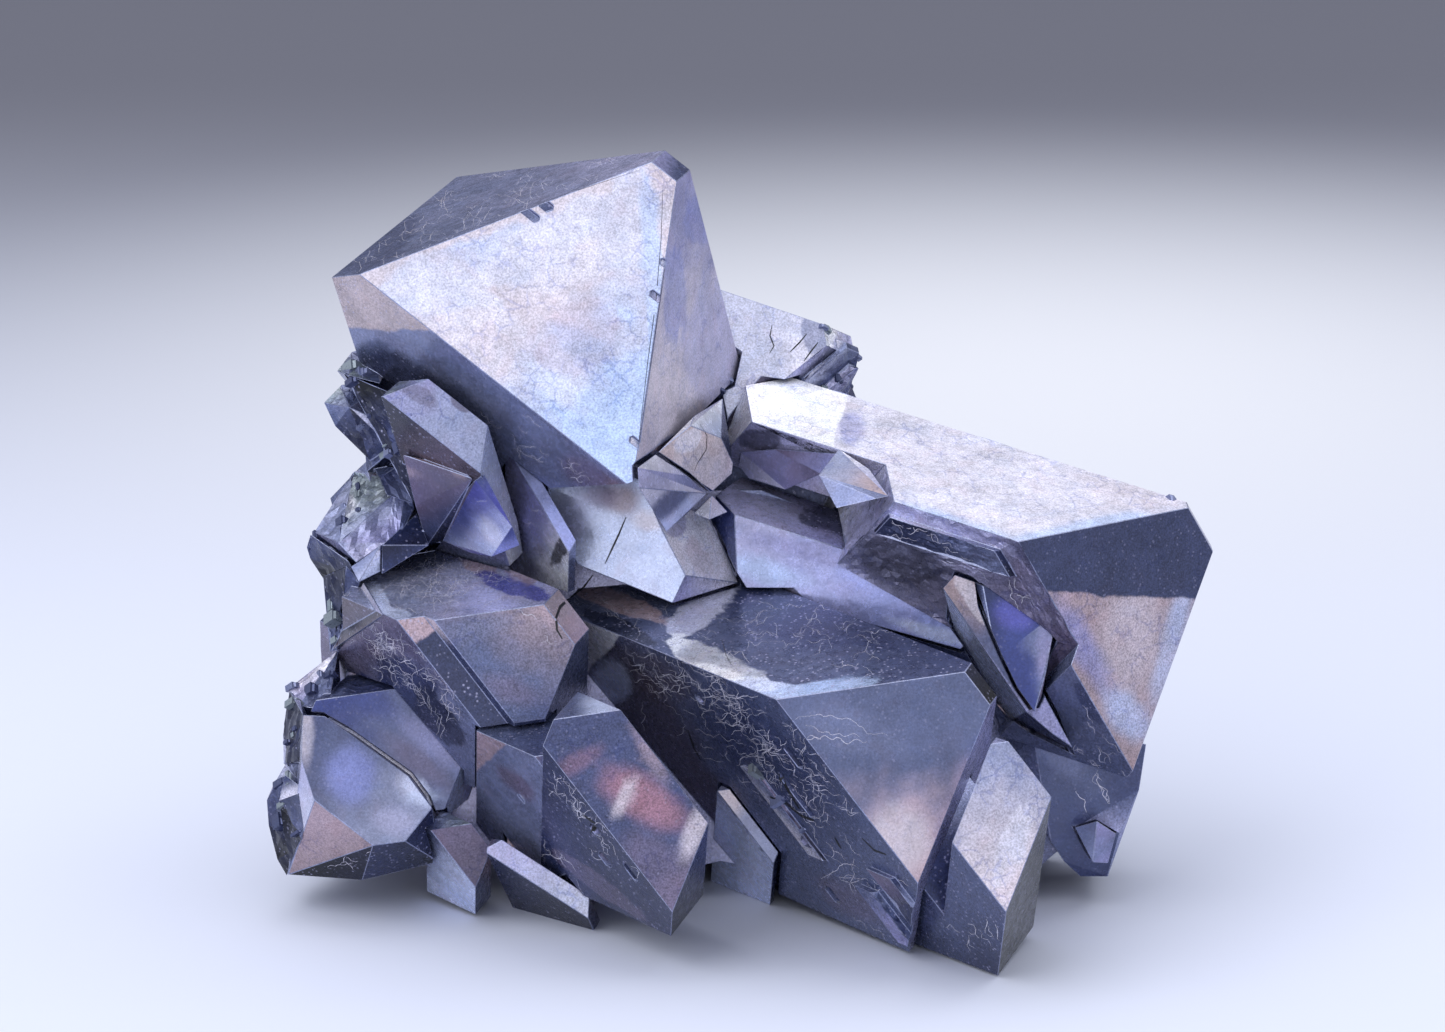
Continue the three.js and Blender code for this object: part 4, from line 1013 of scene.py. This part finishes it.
def metal(name, tone=None, wear=(0.3, 0.1, 0.4, 0.3), metallic=METALLIC):
    """A metallic finish; without a tone of its own it reads the colours painted on the mesh."""
    material = bpy.data.materials.new(name)
    material.use_nodes = True
    tree = material.node_tree
    if tone:
        given = {"Tone": (*shade(tone), 1), "Cover": -1.0}
        given.update(zip(("Pits", "Dots", "Grain", "Rough"), wear))
    else:
        laid = {layer: new_node(tree, "Attribute", {}, attribute_name=layer)
                for layer in ("tone", "patch", "wear")}
        split = new_node(tree, "SeparateColor", {"Color": Wire(laid["wear"], "Color")})
        given = {"Tone": Wire(laid["tone"], "Color"), "Ragged": Wire(laid["tone"], "Alpha"),
                 "Patch": Wire(laid["patch"], "Color"), "Cover": Wire(laid["patch"], "Alpha"),
                 "Pits": Wire(split, "Red"), "Dots": Wire(split, "Green"), "Grain": Wire(split, "Blue"),
                 "Rough": Wire(laid["wear"], "Alpha")}
    tarnish = new_node(tree, "Group", {}, node_tree=bpy.data.node_groups["tarnish"])
    feed(tarnish, given)
    relief = new_node(tree, "Bump", {"Strength": 1.0, "Distance": FINISH_RELIEF,
                                     "Height": Wire(tarnish, "Height")})
    feed(tree.nodes["Principled BSDF"],
         {"Base Color": Wire(tarnish, "Color"), "Roughness": Wire(tarnish, "Roughness"),
          "Normal": Wire(relief, "Normal"), "Metallic": metallic})
    return material


# Veins, cracks and chips


def ribbon(line, width, points, faces):
    """Adds a thin flat band along places on the surface; it tapers to both ends."""
    first = len(points)
    for index, (place, normal) in enumerate(line):
        before = line[max(index - 1, 0)][0]
        after = line[min(index + 1, len(line) - 1)][0]
        aside = (after - before).cross(normal)
        if aside.length < 1e-9:
            aside = normal.orthogonal()
        taper = RIBBON_TIP + (1 - RIBBON_TIP) * math.sin(math.pi * (index + 0.5) / len(line))
        aside = aside.normalized() * width * taper / 2
        lifted = place + normal * RIBBON_LIFT * MM
        points.extend((lifted - aside, lifted + aside))
        if index:
            at = first + 2 * index
            faces.append((at - 2, at - 1, at + 1, at))


def squiggle(surface, number, start, heading, steps, step, pick):
    """A wandering line over one facet, as places and normals; it ends where the facet does."""
    line = []
    px, py = start
    turn = math.radians(heading)
    swing = pick.uniform(*SWING)
    phase = pick.uniform(0, math.tau)
    for _ in range(steps):
        found = surface.at(px, py)
        if not found or found[0] != number:
            break
        line.append(found[1:])
        phase += pick.uniform(*SWING_STEP)
        wiggle = turn + swing * math.sin(phase) + pick.gauss(0, JITTER)
        px += step * math.cos(wiggle)
        py -= step * math.sin(wiggle)
        turn += pick.gauss(0, TURNING)
    return line


def vein_network(surface, name, network, pick, points, faces):
    """Adds one facet's network of veins, some of them with a twig."""
    px, py, long, wide, lie, count, length, heading = network
    number = surface.number_of[name]
    turn = math.radians(lie)
    share = VEIN_THIN if name.endswith(("roof", "front")) else VEIN_FULL
    for _ in range(count):
        along = pick.gauss(0, VEIN_SCATTER) * long
        aside = pick.gauss(0, VEIN_SCATTER) * wide
        start = (px + along * math.cos(turn) - aside * math.sin(turn),
                 py - along * math.sin(turn) - aside * math.cos(turn))
        way = heading + pick.gauss(0, VEIN_FAN) + pick.choice((0, 180))
        steps = max(VEIN_FEWEST, int(length * pick.uniform(*VEIN_REACH) / VEIN_STEP))
        line = squiggle(surface, number, start, way, steps, VEIN_STEP, pick)
        if len(line) > 2:
            ribbon(line, pick.uniform(*VEIN_WIDTH) * share * MM, points, faces)
        twigs = pick.randint(0, 1) if length < UNBRANCHED else 0
        if twigs and len(line) > 3:
            fork = seen([line[pick.randrange(1, len(line))][0]])[0]
            side = way + pick.choice((-1, 1)) * pick.uniform(*TWIG_ANGLE)
            twig = squiggle(surface, number, fork, side, max(TWIG_FEWEST, steps // 2), TWIG_STEP, pick)
            if len(twig) > 2:
                ribbon(twig, pick.uniform(*TWIG_WIDTH) * share * MM, points, faces)


def veins(surface, material):
    """Networks of fine pale veins, branching over the dark facets."""
    pick = random.Random(VEIN_SEED)
    points = []
    faces = []
    for name, networks in VEINS.items():
        for network in networks if name in surface.number_of else ():
            vein_network(surface, name, network, pick, points, faces)
    new_piece("pale_veins", points, faces, material)


def cracks(surface, material):
    points = []
    faces = []
    for width, line in CRACKS.values():
        places = []
        for start, end in zip(line, line[1:]):
            for step in range(CRACK_STEPS):
                share = step / CRACK_STEPS
                found = surface.at(*(near + (far - near) * share for near, far in zip(start, end)))
                if found:
                    places.append(found[1:])
        if len(places) > 2:
            ribbon(places, width * MM, points, faces)
    new_piece("cracks_painted_shade", points, faces, material)


def cleavage_block():
    """One small stepped block with a corner split off, about a unit across."""
    bpy.ops.object.select_all(action="DESELECT")
    bpy.ops.mesh.primitive_cube_add(size=1)
    block = bpy.context.active_object
    bpy.ops.object.mode_set(mode="EDIT")
    bpy.ops.mesh.select_mode(type="FACE")
    bpy.ops.mesh.select_all(action="DESELECT")
    mesh = bmesh.from_edit_mesh(block.data)
    for face in mesh.faces:
        face.select_set(face.normal.z > 0.9)
    bmesh.update_edit_mesh(block.data)
    bpy.ops.mesh.inset(thickness=BLOCK_INSET)
    bpy.ops.mesh.extrude_region_move(TRANSFORM_OT_translate={"value": BLOCK_STEP})
    bpy.ops.mesh.select_all(action="SELECT")
    bpy.ops.mesh.bisect(plane_co=BLOCK_CUT, plane_no=BLOCK_CUT_FACING, use_fill=True, clear_outer=True)
    bpy.ops.object.mode_set(mode="OBJECT")
    return block


def chips(piece, surface, materials):
    """Small cleavage blocks standing out of the broken surfaces, all copies of one block."""
    pick = random.Random(CHIP_SEED)
    low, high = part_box("galena_cluster")
    smooth = {number for name, number in surface.number_of.items() if name.startswith(SMOOTH_BREAKS)}
    broken = surface.back | surface.broken - smooth
    spots = [face for face, number in zip(piece.data.polygons, facet_numbers(piece.data))
             if face.material_index == 0 and face.center.z < CHIP_BELOW and int(number) in broken]
    lie = Matrix.Identity(3)
    for angle, axis in CHIP_LIE:
        lie = lie @ Matrix.Rotation(math.radians(angle), 3, axis)
    block = cleavage_block()
    for material in materials:
        copies = []
        for _ in range(CHIP_COUNT):
            face = pick.choice(spots)
            size = [pick.uniform(*CHIP_SIZE) * MM * pick.uniform(*CHIP_SHARE) for _ in range(3)]
            centre = face.center - face.normal * (min(size) / 2 - pick.uniform(*CHIP_PROUD) * MM)
            turn = (lie @ Matrix.Rotation(pick.gauss(0, CHIP_TWIST), 3, "Z")).to_4x4()
            data = block.data.copy()
            data.transform(Matrix.Translation(centre) @ turn @ Matrix.Diagonal((*size, 1)))
            if all(low[axis] < vertex.co[axis] < high[axis] for vertex in data.vertices for axis in range(3)):
                copies.append(linked(material.name, data))
            else:
                bpy.data.meshes.remove(data)
        bpy.ops.object.select_all(action="DESELECT")
        for chip in copies:
            chip.select_set(True)
        bpy.context.view_layer.objects.active = copies[0]
        bpy.ops.object.join()
        copies[0].data.materials.append(material)
        keep(copies[0])
    bpy.data.objects.remove(block)


# The paper, the light and the camera


def floor_and_backdrop():
    """A pale floor that curves up behind the cluster, painted lighter in the middle than above: a painted
    pool of light and painted shade.
    """
    bpy.ops.object.select_all(action="DESELECT")
    bpy.ops.mesh.primitive_grid_add(x_subdivisions=1, y_subdivisions=SWEEP_DIVISIONS, size=2)
    sweep = bpy.context.active_object
    sweep.name = "sweep"
    for vertex in sweep.data.vertices:
        way = (vertex.co.y + 1) / 2 * SWEEP_LENGTH - SWEEP_FRONT
        bent = max(way - SWEEP_START, 0)
        turn = min(bent / SWEEP_RADIUS, math.pi / 2)
        rise = max(0.0, bent - SWEEP_RADIUS * math.pi / 2)
        vertex.co = Vector((vertex.co.x * SWEEP_HALF_WIDTH,
                            min(way, SWEEP_START) + SWEEP_RADIUS * math.sin(turn),
                            SWEEP_RADIUS * (1 - math.cos(turn)) + rise))
    sweep.data.shade_smooth()
    material = bpy.data.materials.new("pale_paper")
    material.use_nodes = True
    tree = material.node_tree
    place = object_place(tree)
    depth = Wire(new_node(tree, "SeparateXYZ", {0: place}), "Y")
    colour = mixed(tree, "MIX", spread(depth, *PAPER_TURN), PAPER_LOW, PAPER_HIGH_SHADE)
    away = Wire(new_node(tree, "VectorMath", {0: place, 1: GLOW_PLACE}, operation="DISTANCE"), "Value")
    colour = mixed(tree, "MIX", spread(away, GLOW_REACH, 0.0, 0.0, GLOW_STRENGTH), colour, PAPER_PAINTED_GLOW)
    feed(tree.nodes["Principled BSDF"],
         {"Base Color": colour, "Roughness": PAPER_ROUGHNESS, "Specular IOR Level": PAPER_GLOSS})
    sweep.data.materials.append(material)


def light_and_camera():
    scene = bpy.context.scene
    scene.world = bpy.data.worlds.new("studio")
    scene.world.use_nodes = True
    feed(scene.world.node_tree.nodes["Background"], {"Color": ROOM_COLOUR, "Strength": ROOM_LIGHT})
    for name, (place, size, power, colour) in LIGHTS.items():
        data = bpy.data.lights.new(name, "AREA")
        data.shape = "RECTANGLE"
        data.size, data.size_y = size
        data.energy = power
        data.color = colour
        lamp = linked(name, data)
        lamp.location = place
        lamp.rotation_euler = (LIT_PLACE - Vector(place)).to_track_quat("-Z", "Y").to_euler()
    scene.view_settings.view_transform = "Standard"
    data = bpy.data.cameras.new("camera")
    data.lens = LENS
    data.sensor_width = SENSOR
    data.clip_start = CLIP_NEAR
    data.clip_end = CLIP_FAR
    camera = linked("camera", data)
    camera.location = EYE
    camera.rotation_euler = (math.radians(90) - VIEW_DOWN, 0, 0)
    scene.camera = camera


tarnish_group()
faces_finish = metal("galena_faces")
# The worn edges' pewter tone is partly a painted highlight.
edges_wear_and_highlight = metal("worn_edges_painted_highlight", PEWTER, (0.4, 0.1, 0.9, 0.30))
cluster = merged_copy(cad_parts["galena_cluster"], (faces_finish, edges_wear_and_highlight))
number_facets(cluster)
surface = Surface(cluster)
wear_edges(cluster)
refine(cluster, set(surface.named))
roughen(cluster, surface)
paint(cluster, surface)
cluster.data.shade_flat()
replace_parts(keep(cluster), "galena_cluster")

veins(surface, metal("pale_veins", SILVER, (0.0, 0.0, 0.8, 0.4), 0.2))
# The cracks' black is painted shade in their openings.
cracks(surface, metal("cracks_painted_shade", BLACK, (0.3, 0.0, 0.8, 0.6), 0.0))
chips(cluster, surface, [metal("chips_dark", DUSK), metal("chips_mid", STEEL),
                         metal("chips_bright", GREEN_GREY)])

floor_and_backdrop()
light_and_camera()
